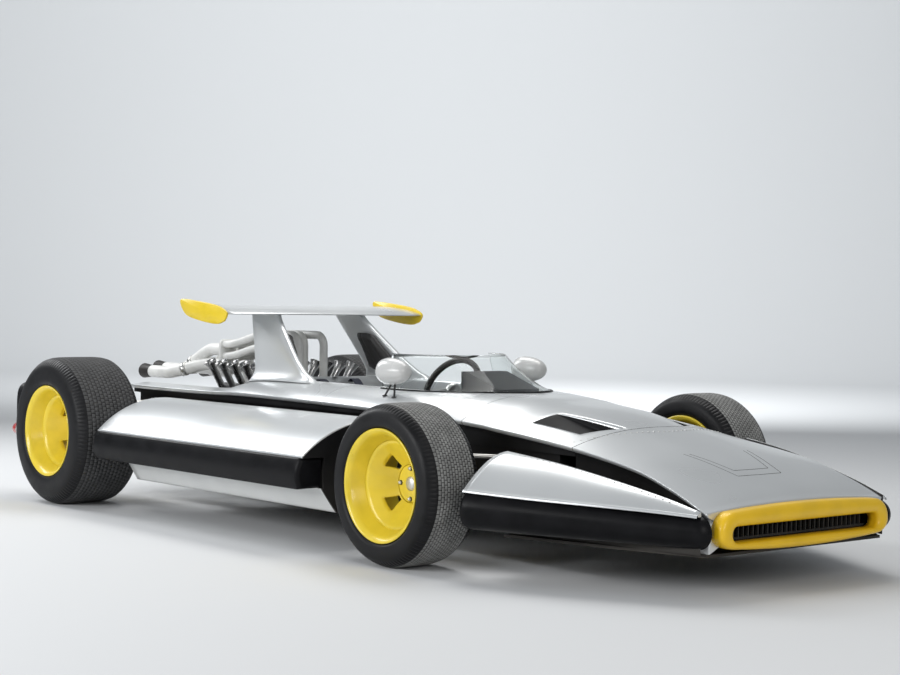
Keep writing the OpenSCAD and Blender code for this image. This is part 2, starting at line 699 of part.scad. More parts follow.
// Places the children on the steering column's axis, X pointing down the column
module on_column() {
    translate([wheel_x, 0, wheel_z]) rotate([0, column_tilt, 0]) children();
}

module dashboard() {
    x1 = x_scuttle - 165;
    z1 = sill_height - 90;
    color("dimgray") difference() {
        union() {
            translate([x1, -cabin_width / 2, z1]) cube([20, cabin_width, sill_height - z1]);
            across_y(-110, 110) polygon([[x1 + 20, z1], [x1 + 20, deck_height + 2],
                [x1 - 175, screen_height - 66],
                [x1 - 210, screen_height - 66], [x1 - 205, deck_height - 40], [x1 - 110, z1]]);
            on_column() translate([70, 0, 0]) rotate([0, 90, 0]) cylinder(h = norm(column) - 70, d = 40);
            translate([rack_x, 0, rack_z]) rotate([90, 0, 0]) cylinder(h = 300, d = 50, center = true);
        }
        on_column() rotate([0, 90, 0]) cylinder(h = 140, d = shaft_d + 2 * play);
        translate([rack_x, 0, rack_z]) rotate([90, 0, 0]) cylinder(h = 320, d = 24 + 2 * play, center = true);
    }
}

module steering_wheel() {
    r = (wheel_d - wheel_rim_d) / 2;
    color("dimgray") on_column() rotate([0, 90, 0]) {
        rotate_extrude() translate([r, 0]) circle(d = wheel_rim_d, $fn = 24);
        for (a = [90, 0, -90]) rotate([0, 0, a]) translate([0, -12, -3]) cube([r, 24, 6]);
        translate([0, 0, -14]) cylinder(h = 28, d = 70);
        cylinder(h = 135, d = shaft_d);
    }
}

module seat() {
    x0 = x_bulkhead + bulkhead_t + seat_gap;
    z0 = floor_top + 15 + seat_gap;
    color("dimgray") across_y(-seat_width / 2, seat_width / 2)
        polygon([[x0, z0], [x0 + 780, z0], [x0 + 780, z0 + 70], [x0 + 480, z0 + 50], [x0 + 400, z0 + 70],
            [x0 + 180, z0 + 300], [x0 + 80, z0 + 400], [x0 + 64, z0 + 400], [x0 + 64, z0 + 325],
            [x0, z0 + 325]]);
}

// Airfoil of the wing as (x, z), nose to the front
function wing_point(t, side) = let (h = wing_t * 1.32 * (sqrt(t) - 0.42 * t - 0.58 * t * t * t) * 0.98)
    [wing_x - wing_chord * t, wing_height + wing_rise * t + side * (side > 0 ? h * 0.75 : h * 0.45)];
module wing_section() {
    polygon(concat([for (k = [0 : 12]) wing_point(pow(k / 12, 1.6), 1)],
        [for (k = [11 : -1 : 1]) wing_point(pow(k / 12, 1.6), -1)]));
}

module wing() {
    color("silver") across_y(-wing_span / 2, wing_span / 2) wing_section();
}

module end_plates() {
    c = wing_chord;
    color("gold") both_sides() across_y(wing_span / 2, wing_span / 2 + plate_t)
        translate([wing_x, wing_height]) polygon([[-c, 56], [-0.86 * c, 61], [-0.3 * c, 42], [-0.09 * c, 25],
            [0.012 * c, 2], [-0.03 * c, -28], [-0.09 * c, -38], [-0.21 * c, -46], [-0.5 * c, -37],
            [-0.83 * c, -14], [-0.96 * c, 20]]);
}

// Upright plate that leans in from the deck; t0 and t1 measure inwards from the fin's outer face
module leaning_plate(t0, t1) {
    translate([0, fin_spacing / 2, deck_height - 5]) rotate([fin_lean, 0, 0])
        translate([x_bulkhead - 600, fin_t / 2 - t1, -300]) cube([1400, t1 - t0, 900]);
}

module fins() {
    x0 = x_bulkhead - 118;
    x1 = x_bulkhead + 440;
    yb = fin_spacing / 2 - fin_t / 2 - 1;
    d = deck_height;
    color("silver") both_sides() intersection() {
        leaning_plate(0, fin_t);
        across_y(0, body_width) difference() {
            polygon(concat(
                [for (k = [0 : 10]) let (x = x0 + (x1 - x0) * k / 10) [x, body_z(x, yb) + seat_gap]],
                [[x1 - 60, d + 14], [x1 - 103, d + 30], [x1 - 198, d + 87], [x1 - 290, d + 159],
                [x1 - 413, d + 263], [x1 - 430, d + 330], [x0 - 60, d + 330], [x0 - 71, d + 263],
                [x0 + 4, d + 160], [x0 + 45, d + 94], [x0 + 66, d + 40], [x0 + 48, d], [x0 + 20, d - 14]]));
            translate([0, -seat_gap]) wing_section();
            translate([wing_x - wing_chord, wing_height]) rotate(-atan(wing_rise / wing_chord))
                translate([-100, wing_rise]) square([2 * wing_chord, wing_chord]);
        }
    }
}

module head_pads() {
    x = x_bulkhead;
    d = deck_height;
    color("dimgray") both_sides() intersection() {
        leaning_plate(fin_t + seat_gap, fin_t + pad_t);
        across_y(0, body_width) polygon([[x + 128, d + 5], [x + 300, d + 5], [x + 255, d + 45],
            [x + 215, d + 90], [x + 140, d + 163], [x + 108, d + 200], [x + 70, d + 214], [x - 30, d + 214],
            [x, d + 110], [x + 10, d + 60]]);
    }
}

module mirrors() {
    x = x_front - 0.253 * wheelbase;
    y = body_width / 2 - 93;
    z = deck_height + 65;
    r = mirror_d / 2;
    color("silver") both_sides() {
        difference() {
            translate([x - mirror_len * 0.4, y, z]) rotate([0, 90, 0]) rotate_extrude()
                polygon(concat([[0, 0], [r * 0.9, 0]],
                    [for (k = [1 : 10])
                        [r * pow(cos(9 * k), 0.7), mirror_len * (0.14 + 0.86 * sin(9 * k))]]));
            translate([x - mirror_len * 0.4 - 1, y, z]) rotate([0, 90, 0]) cylinder(h = 8, r = r * 0.8);
        }
        for (dx = [-30, 30]) rod([x + dx, y + 20, body_z(x + dx, y + 20) + 4.5],
            [x + dx * 0.3, y, z - r * 0.8], 9);
    }
}

// The two banks' outline as (y, z) from one height to another along the bank
module banks(h0, h1, w) {
    for (s = [-1, 1]) translate([0, bank_z]) rotate(-s * bank_angle / 2)
        translate([-w / 2, h0]) square([w, h1 - h0]);
}

module engine_block() {
    color("lightgray") along_x(x_engine_back, x_bulkhead) union() {
        polygon([[-130, floor_top + 25], [130, floor_top + 25], [160, bank_z + 40], [90, bank_z + 90],
            [-90, bank_z + 90], [-160, bank_z + 40]]);
        banks(0, bank_len, bank_width);
    }
}

module cam_covers() {
    color("darkgray") along_x(x_engine_back + 12, x_bulkhead - 12)
        for (s = [-1, 1], p = [-1, 1]) translate([0, bank_z]) rotate(-s * bank_angle / 2)
            translate([p * bank_width * 0.29, bank_len]) intersection() {
                translate([0, 8]) circle(24);
                translate([-24, 0]) square([48, 40]);
            }
}

module intakes() {
    color("darkgray") for (s = [-1, 1], k = [0 : bank_cylinders - 1])
        translate([x_bulkhead - 22 - (k + 0.5) * cylinder_pitch, 0, bank_z])
            rotate([-s * bank_angle / 2, 0, 0]) translate([0, 0, bank_len]) {
                cylinder(h = trumpet_len - bell_len, d = 34);
                translate([0, 0, trumpet_len - bell_len]) cylinder(h = bell_len, d1 = 34, d2 = 62);
            }
}

// Exhaust runs. Columns: pair of cylinders they serve, height of their run above the deck
RUNS = [[0, 182], [1, 126], [2, 70]];
run_z0 = bank_z + bank_len * cos(bank_angle / 2) + bank_width / 2 * sin(bank_angle / 2) + seat_gap;
x_collect = x_engine_back - 60;
x_tails = x_collect - 28 - seat_gap;

// Round tube along a path that never runs straight across the car
function tube_ring(path, i, d) = let (a = path[max(i - 1, 0)], b = path[min(i + 1, len(path) - 1)],
    g = (b - a) / norm(b - a), v = cross(g, [0, 1, 0]), w = v / norm(v), u = cross(w, g), n = 14)
    [for (k = [0 : n - 1]) path[i] + d / 2 * (cos(360 / n * k) * u + sin(360 / n * k) * w)];
module tube(path, d) {
    skin([for (i = [0 : len(path) - 1]) tube_ring(path, i, d)]);
}

// One header: up from the vee, round a bend and back to the collector
bend = 52;
run_fall = 60;
function fall(x) = let (e = max(0, min(1, (x_collect + 380 - x) / 380))) run_fall * e * e * (3 - 2 * e);
function header_path(x, y, z) = let (x1 = x - bend, z1 = z - fall(x1), x2 = x_collect + seat_gap, n = 6)
    concat([[x, y, run_z0]], [for (a = [0 : 15 : 90]) [x1 + bend * cos(a), y, z1 - bend + bend * sin(a)]],
        [for (i = [1 : n]) let (xi = x1 + (x2 - x1) * i / n) [xi, y, z - fall(xi)]]);

// Tail pipe path: level, down in a soft bend, level again
function tail_at(t, p) = let (e = max(0, min(1, (t - 0.2) / 0.52)), s = e * e * (3 - 2 * e))
    [x_tails - t * (x_tails - (x_rear - 400)), p[0] + (p[1] - p[0]) * s, p[2] + (p[3] - p[2]) * s];
// Tail pipes. Columns: y and z at the collector and at the tip as y, y, z, z
TAILS = [[52, 95, deck_height + 96, deck_height - 12], [52, 175, deck_height + 26, deck_height - 26]];

module headers() {
    color("white") both_sides() {
        for (r = RUNS, k = [0, 1]) tube(header_path(x_bulkhead - 22 - (2 * r[0] + k + 0.5) * cylinder_pitch,
            30 + 42 * (1 - k), deck_height + r[1]), pipe_d);
        translate([x_collect - 28, 6, deck_height - 16]) cube([28, 92, 164]);
    }
}

module exhausts() {
    color("white") both_sides() for (p = TAILS) tube([for (i = [0 : 16]) tail_at(i / 16, p)], tail_d);
}

module tail_pipes() {
    color("dimgray") both_sides() for (p = TAILS) let (c = tail_at(1, p)) difference() {
        translate([c[0] - 78, c[1], c[2]]) rotate([0, 90, 0])
            cylinder(h = 78 - seat_gap, d1 = tail_d + 14, d2 = tail_d);
        translate([c[0] - 79, c[1], c[2]]) rotate([0, 90, 0]) cylinder(h = 60, d = tail_d - 4);
    }
}

module gearbox() {
    x1 = x_gearbox_back;
    color("lightgray") {
        across_y(-gearbox_half + 20, gearbox_half - 20)
            polygon([[x_engine_back, floor_top + 40], [x_engine_back, bank_z + 210],
                [x_rear + 60, bank_z + 190], [x1, bank_z + 150], [x1, floor_top + 90],
                [x_rear, floor_top + 40]]);
        translate([x_rear, 0, rear_z]) rotate([90, 0, 0])
            cylinder(h = 2 * gearbox_half, d = 130, center = true);
    }
}

// Side frames that carry the rear rails, the links and the tail
module rear_frame() {
    y1 = monocoque_width / 2;
    y0 = y1 - 25;
    z0 = floor_top + 60;
    color("dimgray") {
        both_sides() difference() {
            across_y(y0, y1) polygon([[x_bulkhead, z0 - 40], [x_bulkhead, sill_height],
                [x_tail + 6, sill_height], [x_tail + 6, sill_height - 60], [x_rear - 60, z0],
                [x_rear + 60, z0]]);
            translate([x_rear, 0, rear_z]) rotate([90, 0, 0]) cylinder(h = 4 * y1, r = 62, center = true);
        }
        translate([x_tail + 6, seat_gap - y0, sill_height - 55]) cube([24, 2 * (y0 - seat_gap), 26]);
    }
}

module rear_beam() {
    x = tail_beam_x;
    z = tail_beam_z;
    y = tail_pad_spacing / 2 + 0.225 * tail_pad_w;
    color("dimgray") {
        rod([x, -y, z], [x, y, z], beam_d);
        for (s = [-70, 70]) rod([x, s, z - 20], [x_gearbox_back - seat_gap, s, z - 20], 34);
    }
}

module rear_rubber() {
    x0 = x_rear - tail_reach + lamp_len;
    r = tail_pad_r;
    y0 = (tail_pad_spacing - tail_pad_w) / 2;
    color("dimgray") both_sides() along_x(x0, x0 + tail_pad_t) translate([y0, tail_pad_z]) union() {
        for (y = [r, tail_pad_w - r], z = [r, tail_pad_h - r]) translate([y, z]) circle(r);
        translate([r, 0]) square([tail_pad_w - 2 * r, tail_pad_h]);
        translate([0, r]) square([tail_pad_w, tail_pad_h - 2 * r]);
    }
}

module tail_lamps() {
    y = (tail_pad_spacing + tail_pad_w - lamp_d) / 2 - 4;
    color("red") both_sides() translate([x_rear - tail_reach, y, tail_pad_z + 60]) rotate([0, 90, 0])
        cylinder(h = lamp_len - seat_gap, d = lamp_d);
}

// One wishbone: an eye on the kingpin, two tubes and two bushes at the monocoque
module wishbone(z, z_in, spread) {
    eye = pin_d + 24;
    y1 = monocoque_width / 2 + seat_gap + 16;
    difference() {
        union() {
            translate([x_front, kingpin_y, z - 9]) cylinder(h = 18, d = eye);
            for (s = [-1, 1]) {
                rod([x_front + s * 6, kingpin_y - eye / 2 + 4, z], [x_front + s * spread, y1, z_in],
                    tube_d * 0.75);
                rod([x_front + s * spread - 24, y1, z_in], [x_front + s * spread + 24, y1, z_in], 32);
            }
        }
        translate([x_front, kingpin_y, z - 30]) cylinder(h = 60, d = pin_d + 2 * play);
    }
}

module wishbones() {
    color("lightgray") both_sides() {
        wishbone(front_z + joint_rise, front_z + joint_rise - 12, 150);
        wishbone(front_z - joint_rise, front_z - joint_rise - 4, 170);
    }
}

module knuckle() {
    h = joint_rise - 10;
    color("lightgray") difference() {
        union() {
            translate([x_front, front_hub_y - 8, front_z]) rotate([90, 0, 0])
                cylinder(h = axle_len - 13, d = axle_d + 46);
            translate([x_front, kingpin_y, front_z - h]) cylinder(h = 2 * h, d = 40);
            translate([x_front, kingpin_y, front_z - joint_rise - 14])
                cylinder(h = 2 * joint_rise + 28, d = pin_d);
            translate([rack_x - 12, kingpin_y - 10, rack_z - 29]) cube([steer_arm + 12, 20, 16]);
            translate([rack_x, kingpin_y, rack_z - 20]) cylinder(h = 36, d = 12);
        }
        translate([x_front, 0, front_z]) rotate([-90, 0, 0]) cylinder(h = front_track, d = axle_d + 2 * play);
    }
}

module knuckle_right() {
    mirror([0, 1, 0]) knuckle();
}

module knuckle_left() {
    knuckle();
}

module steering_rack() {
    eye = 12 + 2 * eye_play;
    color("lightgray") difference() {
        union() {
            translate([rack_x, 0, rack_z]) rotate([90, 0, 0]) cylinder(h = 520, d = 24, center = true);
            translate([rack_x, 0, rack_z]) rotate([90, 0, 0])
                cylinder(h = 2 * kingpin_y, d = tie_d, center = true);
            both_sides() translate([rack_x, kingpin_y, rack_z - 8]) cylinder(h = 16, d = eye + 16);
        }
        both_sides() translate([rack_x, kingpin_y, rack_z - 30]) cylinder(h = 60, d = eye);
    }
}

// Rear uprights with their links to the side frames
module rear_suspension() {
    y1 = monocoque_width / 2 + seat_gap + 14;
    yu = rear_hub_y - 45;
    color("lightgray") both_sides() difference() {
        union() {
            translate([x_rear, rear_hub_y - 8, rear_z]) rotate([90, 0, 0])
                cylinder(h = axle_len - 13, d = axle_d + 50);
            translate([x_rear, yu, rear_z - 110]) cylinder(h = 220, d = 42);
            for (s = [-1, 1]) {
                z = floor_top + (s > 0 ? 80 : 130);
                rod([x_rear, yu, rear_z - 95], [x_rear + s * 150, y1, z], tube_d);
                rod([x_rear + s * 150 - 20, y1, z], [x_rear + s * 150 + 20, y1, z], 28);
            }
            rod([x_rear, yu, rear_z + 95], [x_rear + 30, y1, sill_height - 35], tube_d);
            rod([x_rear + 10, y1, sill_height - 35], [x_rear + 50, y1, sill_height - 35], 28);
            rod([x_rear, yu, rear_z + 80], [x_rear + 380, y1, sill_height - 60], tube_d);
            rod([x_rear + 360, y1, sill_height - 60], [x_rear + 400, y1, sill_height - 60], 28);
        }
        translate([x_rear, 0, rear_z]) rotate([-90, 0, 0]) cylinder(h = rear_track, d = axle_d + 2 * play);
    }
}

// Rim section as (radius, height), outer face up
module rim_section(w, depth) {
    b = w / 2;
    f = rim_d / 2;
    d = bead_r - rim_drop;
    t = rim_wall;
    polygon([[f, b], [f, b - 6], [bead_r, b - 14], [bead_r, b - 40], [d, b - 60], [d, 60 - b],
        [bead_r, 40 - b], [bead_r, 14 - b], [f, 6 - b], [f, -b], [f - t, -b], [bead_r - t, 18 - b],
        [bead_r - t, 36 - b],
        [d - t, 56 - b], [d - t, b - 56], [bead_r - t, b - 36], [bead_r - t, b - 18], [f - t, b]]);
    polygon([[d - t / 2, b - 70], [d - t / 2, b - 70 - hub_t], [hub_r, b - depth - hub_t],
        [0, b - depth - hub_t], [0, b - depth], [hub_r, b - depth]]);
}

module rim(w, depth) {
    a = window_half_angle;
    r0 = hub_r + 8;
    r1 = r0 + window_len;
    color("gold") {
        difference() {
            rotate_extrude($fn = 72) rim_section(w, depth);
            for (k = [0 : spokes - 1]) rotate([0, 0, (k + 0.5) * 360 / spokes])
                translate([0, 0, -w]) linear_extrude(2 * w) polygon([[r0 * cos(a / 2), -r0 * sin(a / 2)],
                    [r1 * cos(a), -r1 * sin(a)], [r1, 0], [r1 * cos(a), r1 * sin(a)],
                    [r0 * cos(a / 2), r0 * sin(a / 2)]]);
        }
        translate([0, 0, w / 2 - depth - hub_t - axle_len]) cylinder(h = axle_len + 1, d = axle_d);
    }
}

module rim_front_right() {
    at_wheel(-1, x_front, front_track, front_tyre_d) rim(front_rim_w, front_hub_depth);
}

module rim_front_left() {
    at_wheel(1, x_front, front_track, front_tyre_d) rim(front_rim_w, front_hub_depth);
}

module rim_rear_right() {
    at_wheel(-1, x_rear, rear_track, rear_tyre_d) rim(rear_rim_w, rear_hub_depth);
}

module rim_rear_left() {
    at_wheel(1, x_rear, rear_track, rear_tyre_d) rim(rear_rim_w, rear_hub_depth);
}

// Tyre ring: flat tread, round shoulders, walls that bulge past the flanges
module tyre(d, w, rim_w) {
    r = d / 2;
    b = rim_w / 2;
    h = w / 2;
    f = rim_d / 2;
    e = r - f;
    half = [[bead_r + seat_gap, b - 15], [f + 0.5, b - 7], [f + 10, h - 3], [f + 0.3 * e, h],
        [r - 0.36 * e, h - 4], [r - 0.2 * e, h - 16], [r - 0.08 * e, h - 33], [r - 0.02 * e, h - 56], [r, 0]];
    n = len(half);
    color("dimgray") rotate_extrude($fn = 72)
        polygon(concat(half, [for (k = [n - 2 : -1 : 0]) [half[k][0], -half[k][1]]]));
}

module tyre_front_right() {
    at_wheel(-1, x_front, front_track, front_tyre_d) tyre(front_tyre_d, front_tyre_w, front_rim_w);
}

module tyre_front_left() {
    at_wheel(1, x_front, front_track, front_tyre_d) tyre(front_tyre_d, front_tyre_w, front_rim_w);
}

module tyre_rear_right() {
    at_wheel(-1, x_rear, rear_track, rear_tyre_d) tyre(rear_tyre_d, rear_tyre_w, rear_rim_w);
}

module tyre_rear_left() {
    at_wheel(1, x_rear, rear_track, rear_tyre_d) tyre(rear_tyre_d, rear_tyre_w, rear_rim_w);
}

module driveshaft() {
    y0 = gearbox_half + seat_gap;
    y1 = rear_hub_y - axle_len - seat_gap;
    color("lightgray") translate([x_rear, 0, rear_z]) rotate([-90, 0, 0]) {
        translate([0, 0, y0]) cylinder(h = y1 - y0, d = 36);
        translate([0, 0, y0]) cylinder(h = 55, d = 84);
        translate([0, 0, y1 - 70]) cylinder(h = 50, d = 84);
    }
}

module driveshaft_right() {
    mirror([0, 1, 0]) driveshaft();
}

module driveshaft_left() {
    driveshaft();
}

floor_pan();
monocoque();
cockpit_shell();
front_hood();
nose_cone();
nose_ring();
grille();
radiator();
front_pods();
front_rubber();
side_pods();
side_rubber();
side_skirts();
arch_liners();
windscreen();
dashboard();
steering_wheel();
seat();
head_pads();
fins();
wing();
end_plates();
mirrors();
engine_block();
cam_covers();
intakes();
headers();
exhausts();
tail_pipes();
gearbox();
rear_frame();
rear_beam();
rear_rubber();
tail_lamps();
wishbones();
rear_suspension();
steering_rack();
knuckle_right();
knuckle_left();
rim_front_right();
rim_front_left();
rim_rear_right();
rim_rear_left();
tyre_front_right();
tyre_front_left();
tyre_rear_right();
tyre_rear_left();
driveshaft_right();
driveshaft_left();
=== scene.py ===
import bmesh
import bpy
import numpy as np
from mathutils import Matrix


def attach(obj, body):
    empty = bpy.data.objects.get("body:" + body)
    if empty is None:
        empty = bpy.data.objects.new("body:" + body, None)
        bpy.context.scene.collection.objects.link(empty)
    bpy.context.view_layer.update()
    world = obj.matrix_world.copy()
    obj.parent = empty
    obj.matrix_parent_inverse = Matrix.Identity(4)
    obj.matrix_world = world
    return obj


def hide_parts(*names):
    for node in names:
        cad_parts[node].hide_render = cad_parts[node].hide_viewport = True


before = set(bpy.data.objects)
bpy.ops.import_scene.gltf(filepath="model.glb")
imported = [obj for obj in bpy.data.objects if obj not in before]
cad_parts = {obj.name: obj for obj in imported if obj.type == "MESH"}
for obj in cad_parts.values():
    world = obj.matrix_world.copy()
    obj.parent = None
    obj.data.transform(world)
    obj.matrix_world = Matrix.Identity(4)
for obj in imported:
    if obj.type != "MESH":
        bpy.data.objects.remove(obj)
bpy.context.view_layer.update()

# Studio: the car stands on a pale seamless paper floor that curves up all round it, under large soft boxes.
# The camera is the photograph's: low, ahead of the right front wheel, with a long lens.
PHOTO_WIDTH = 900
SENSOR_MM = 36.0
FOCAL_PIXELS = 1803.77
CAMERA_PLACE = np.array([5.9527, -4.9021, 0.9736])
CAMERA_AZIMUTH, CAMERA_ELEVATION, CAMERA_ROLL = np.radians([-40.305, 1.2427, 0.9448])
LAMPS = (  # name, place, target, width and height, watts, colour
    ("sky_box", (-0.8, 1.2, 4.4), (0.4, 0.0, 0.4), (5.0, 1.6), 115, (1.0, 0.99, 0.97)),
    ("tail_box", (-4.8, -1.4, 3.8), (0.0, -0.6, 0.4), (3.0, 1.6), 130, (0.98, 0.99, 1.0)),
    ("front_box", (6.4, -2.6, 2.6), (0.9, -0.3, 0.3), (2.4, 1.6), 80, (1.0, 0.98, 0.95)),
    ("side_box", (-0.6, -6.4, 2.2), (-0.4, 0.0, 0.4), (5.0, 1.6), 215, (0.98, 0.99, 1.0)),
    ("back_box", (-6.5, 5.5, 6.5), (-14.5, 12.3, 2.2), (9.0, 2.0), 900, (0.97, 0.99, 1.0)))
LAMP_TOP = (0.01, 1, 0)
AIR_COLOUR, AIR_STRENGTH = (0.80, 0.84, 0.88, 1), 0.36
PAPER_COLOUR, PAPER_ROUGH = (0.74, 0.75, 0.76, 1), 0.8
SWEEP_FLOOR, SWEEP_BEND, SWEEP_TOP = 15.0, 5.0, 6.0


def unit(vectors):
    """Vectors scaled to length one."""
    return vectors / np.linalg.norm(vectors, axis=-1, keepdims=True)


def camera_axes(azimuth, elevation, roll):
    """Columns: the picture's right, its up, and the way back from the scene to the eye."""
    level_back = np.array([np.cos(azimuth), np.sin(azimuth), 0])
    back = np.cos(elevation) * level_back + np.array([0, 0, np.sin(elevation)])
    level = unit(np.cross(-back, (0, 0, 1)))
    upright = np.cross(level, -back)
    right = np.cos(roll) * level + np.sin(roll) * upright
    up = np.cos(roll) * upright - np.sin(roll) * level
    return np.column_stack([right, up, back])


def placed(obj, axes, place):
    """Links obj to the scene with those axes at that place."""
    pose = np.eye(4)
    pose[:3, :3] = axes
    pose[:3, 3] = place
    bpy.context.scene.collection.objects.link(obj)
    obj.matrix_world = Matrix(pose.tolist())
    return obj


def soft_box(name, place, target, size, power, colour):
    """A rectangular area lamp at place that looks at target."""
    lamp = bpy.data.lights.new(name, "AREA")
    lamp.shape = "RECTANGLE"
    lamp.size, lamp.size_y = size
    lamp.energy = power
    lamp.color = colour
    back = unit(np.subtract(place, target))
    side = unit(np.cross(LAMP_TOP, back))
    placed(bpy.data.objects.new(name, lamp), np.column_stack([side, np.cross(back, side), back]), place)


def set_inputs(node, values):
    """Sets sockets of a node to constants, by their names."""
    for name, value in values.items():
        node.inputs[name].default_value = value


def shader_of(material):
    """The main shader of a material with nodes."""
    return material.node_tree.nodes["Principled BSDF"]


eye_axes = camera_axes(CAMERA_AZIMUTH, CAMERA_ELEVATION, CAMERA_ROLL)
lens = bpy.data.cameras.new("photo_camera")
camera = placed(bpy.data.objects.new("photo_camera", lens), eye_axes, CAMERA_PLACE)
lens.sensor_fit = "HORIZONTAL"
lens.sensor_width = SENSOR_MM
lens.lens = SENSOR_MM * FOCAL_PIXELS / PHOTO_WIDTH
bpy.context.scene.camera = camera
bpy.context.scene.view_settings.view_transform = "Standard"
for lamp_row in LAMPS:
    soft_box(*lamp_row)
world = bpy.data.worlds.new("studio_air")
world.use_nodes = True
set_inputs(world.node_tree.nodes["Background"], {"Color": AIR_COLOUR, "Strength": AIR_STRENGTH})
bpy.context.scene.world = world


def shape(name, grids, keep=None, slots=None, uv=None, weld=2e-5):
    """One smooth mesh from grids of points, each (rows, columns, 3): every cell is a quad. keep
    masks the cells that stay, slots gives their material slots and uv their UV, which is the share
    of rows and columns without it. Points within weld are joined, which closes seams and poles, and
    the faces are turned outwards."""
    points, quads, uvs, marks, start = [], [], [], [], 0
    for n, grid in enumerate(grids):
        rows, columns = grid.shape[:2]
        index = np.arange(rows * columns).reshape(rows, columns) + start
        cells = np.stack([index[:-1, :-1], index[1:, :-1], index[1:, 1:], index[:-1, 1:]], -1)
        mark = np.broadcast_to(0 if slots is None else slots[n], cells.shape[:2])
        stay = np.ones(cells.shape[:2], bool) if keep is None or keep[n] is None else keep[n]
        quads.append(cells[stay])
        marks.append(mark[stay])
        u, v = np.meshgrid(np.linspace(0, 1, rows), np.linspace(0, 1, columns), indexing="ij")
        uvs.append((np.stack([u, v], -1) if uv is None else uv[n]).reshape(-1, 2))
        points.append(np.asarray(grid, float).reshape(-1, 3))
        start += rows * columns
    points, quads, uvs, marks = (np.concatenate(part) for part in (points, quads, uvs, marks))
    mesh = bpy.data.meshes.new(name)
    mesh.vertices.add(len(points))
    mesh.vertices.foreach_set("co", points.astype(np.float32).ravel())
    mesh.loops.add(quads.size)
    mesh.loops.foreach_set("vertex_index", quads.astype(np.int32).ravel())
    mesh.polygons.add(len(quads))
    mesh.polygons.foreach_set("loop_start", np.arange(len(quads), dtype=np.int32) * 4)
    mesh.polygons.foreach_set("material_index", marks.astype(np.int32))
    mesh.uv_layers.new(name="UVMap").data.foreach_set("uv", uvs[quads.ravel()].astype(np.float32).ravel())
    mesh.update(calc_edges=True)
    work = bmesh.new()
    work.from_mesh(mesh)
    bmesh.ops.remove_doubles(work, verts=work.verts, dist=weld)
    bmesh.ops.dissolve_degenerate(work, edges=work.edges, dist=weld)
    bmesh.ops.recalc_face_normals(work, faces=work.faces)
    work.to_mesh(mesh)
    work.free()
    mesh.shade_smooth()
    piece = bpy.data.objects.new(name, mesh)
    bpy.context.scene.collection.objects.link(piece)
    return piece


def steps(count):
    """Even steps from 0 to 1."""
    return np.linspace(0, 1, count)


def quarter(count):
    """Even angles over a quarter turn."""
    return np.linspace(0, np.pi / 2, count)


def circle(count):
    """Even angles over a full turn, with both ends."""
    return np.linspace(0, 2 * np.pi, count)


def xyz(x, y, z):
    """Points from three coordinates that are spread over one common grid."""
    return np.stack(np.broadcast_arrays(x, y, z), -1)


flat, bow = SWEEP_FLOOR * steps(12), quarter(24)[1:]
reach = np.concatenate([flat, SWEEP_FLOOR + SWEEP_BEND * np.sin(bow)])[:, None]
rise = np.concatenate([0 * flat, SWEEP_TOP * (1 - np.cos(bow))])[:, None]
turn = circle(97)
sweep = shape("studio_sweep", [xyz(reach * np.cos(turn), reach * np.sin(turn), rise)])
paper = bpy.data.materials.new("sweep_paper")
paper.use_nodes = True
set_inputs(shader_of(paper), {"Base Color": PAPER_COLOUR, "Roughness": PAPER_ROUGH})
sweep.data.materials.append(paper)

# Tub: a riveted sheet alloy monocoque on a flat floor pan, painted satin black, with the wheel arches' dark
# liners and the radiator core behind the nose. These keep their CAD shape, and the black paint gets road
# grime.
TONE_LOW, TONE_HIGH, LEAST_ROUGH = 0.2, 0.8, 0.02
DUST, DUST_FOOT = (0.30, 0.27, 0.23), 0.12
COAT_ROUGH, GRAIN_DEPTH, NOISE_DETAIL = 0.08, 0.002, 2.0


def life_group():
    """Two noises in the object's own space: a broad one for tone and gloss, a fine one for grain."""
    group = bpy.data.node_groups.new("surface_life", "ShaderNodeTree")
    for name in ("Broad", "Fine"):
        group.interface.new_socket(name, in_out="INPUT", socket_type="NodeSocketFloat")
    for name in ("Tone", "Grain", "Height"):
        group.interface.new_socket(name, in_out="OUTPUT", socket_type="NodeSocketFloat")
    inlet, outlet = group.nodes.new("NodeGroupInput"), group.nodes.new("NodeGroupOutput")
    place = group.nodes.new("ShaderNodeTexCoord")
    for scale, result in (("Broad", "Tone"), ("Fine", "Grain")):
        noise = group.nodes.new("ShaderNodeTexNoise")
        set_inputs(noise, {"Detail": NOISE_DETAIL})
        group.links.new(place.outputs["Object"], noise.inputs["Vector"])
        group.links.new(inlet.outputs[scale], noise.inputs["Scale"])
        group.links.new(noise.outputs["Fac"], outlet.inputs[result])
    split = group.nodes.new("ShaderNodeSeparateXYZ")
    group.links.new(place.outputs["Object"], split.inputs[0])
    group.links.new(split.outputs["Z"], outlet.inputs["Height"])
    return group


surface_life = life_group()


def mapped(tree, source, low, high, to_low, to_high):
    """Output that eases from to_low to to_high while source goes from low to high."""
    node = tree.nodes.new("ShaderNodeMapRange")
    node.interpolation_type = "SMOOTHSTEP"
    tree.links.new(source, node.inputs["Value"])
    set_inputs(node, {"From Min": low, "From Max": high, "To Min": to_low, "To Max": to_high})
    return node.outputs["Result"]


def multiplied(tree, first, second):
    """Product of two nodes' outputs."""
    node = tree.nodes.new("ShaderNodeMath")
    node.operation = "MULTIPLY"
    tree.links.new(first, node.inputs[0])
    tree.links.new(second, node.inputs[1])
    return node.outputs[0]


def mixed(tree, factor, first, second):
    """Colour between two, each a colour or another node's output."""
    node = tree.nodes.new("ShaderNodeMix")
    node.data_type = "RGBA"
    tree.links.new(factor, node.inputs[0])
    for socket, value in ((node.inputs[6], first), (node.inputs[7], second)):
        if isinstance(value, (tuple, np.ndarray)):
            socket.default_value = (*value, 1)
        else:
            tree.links.new(value, socket)
    return node.outputs[2]


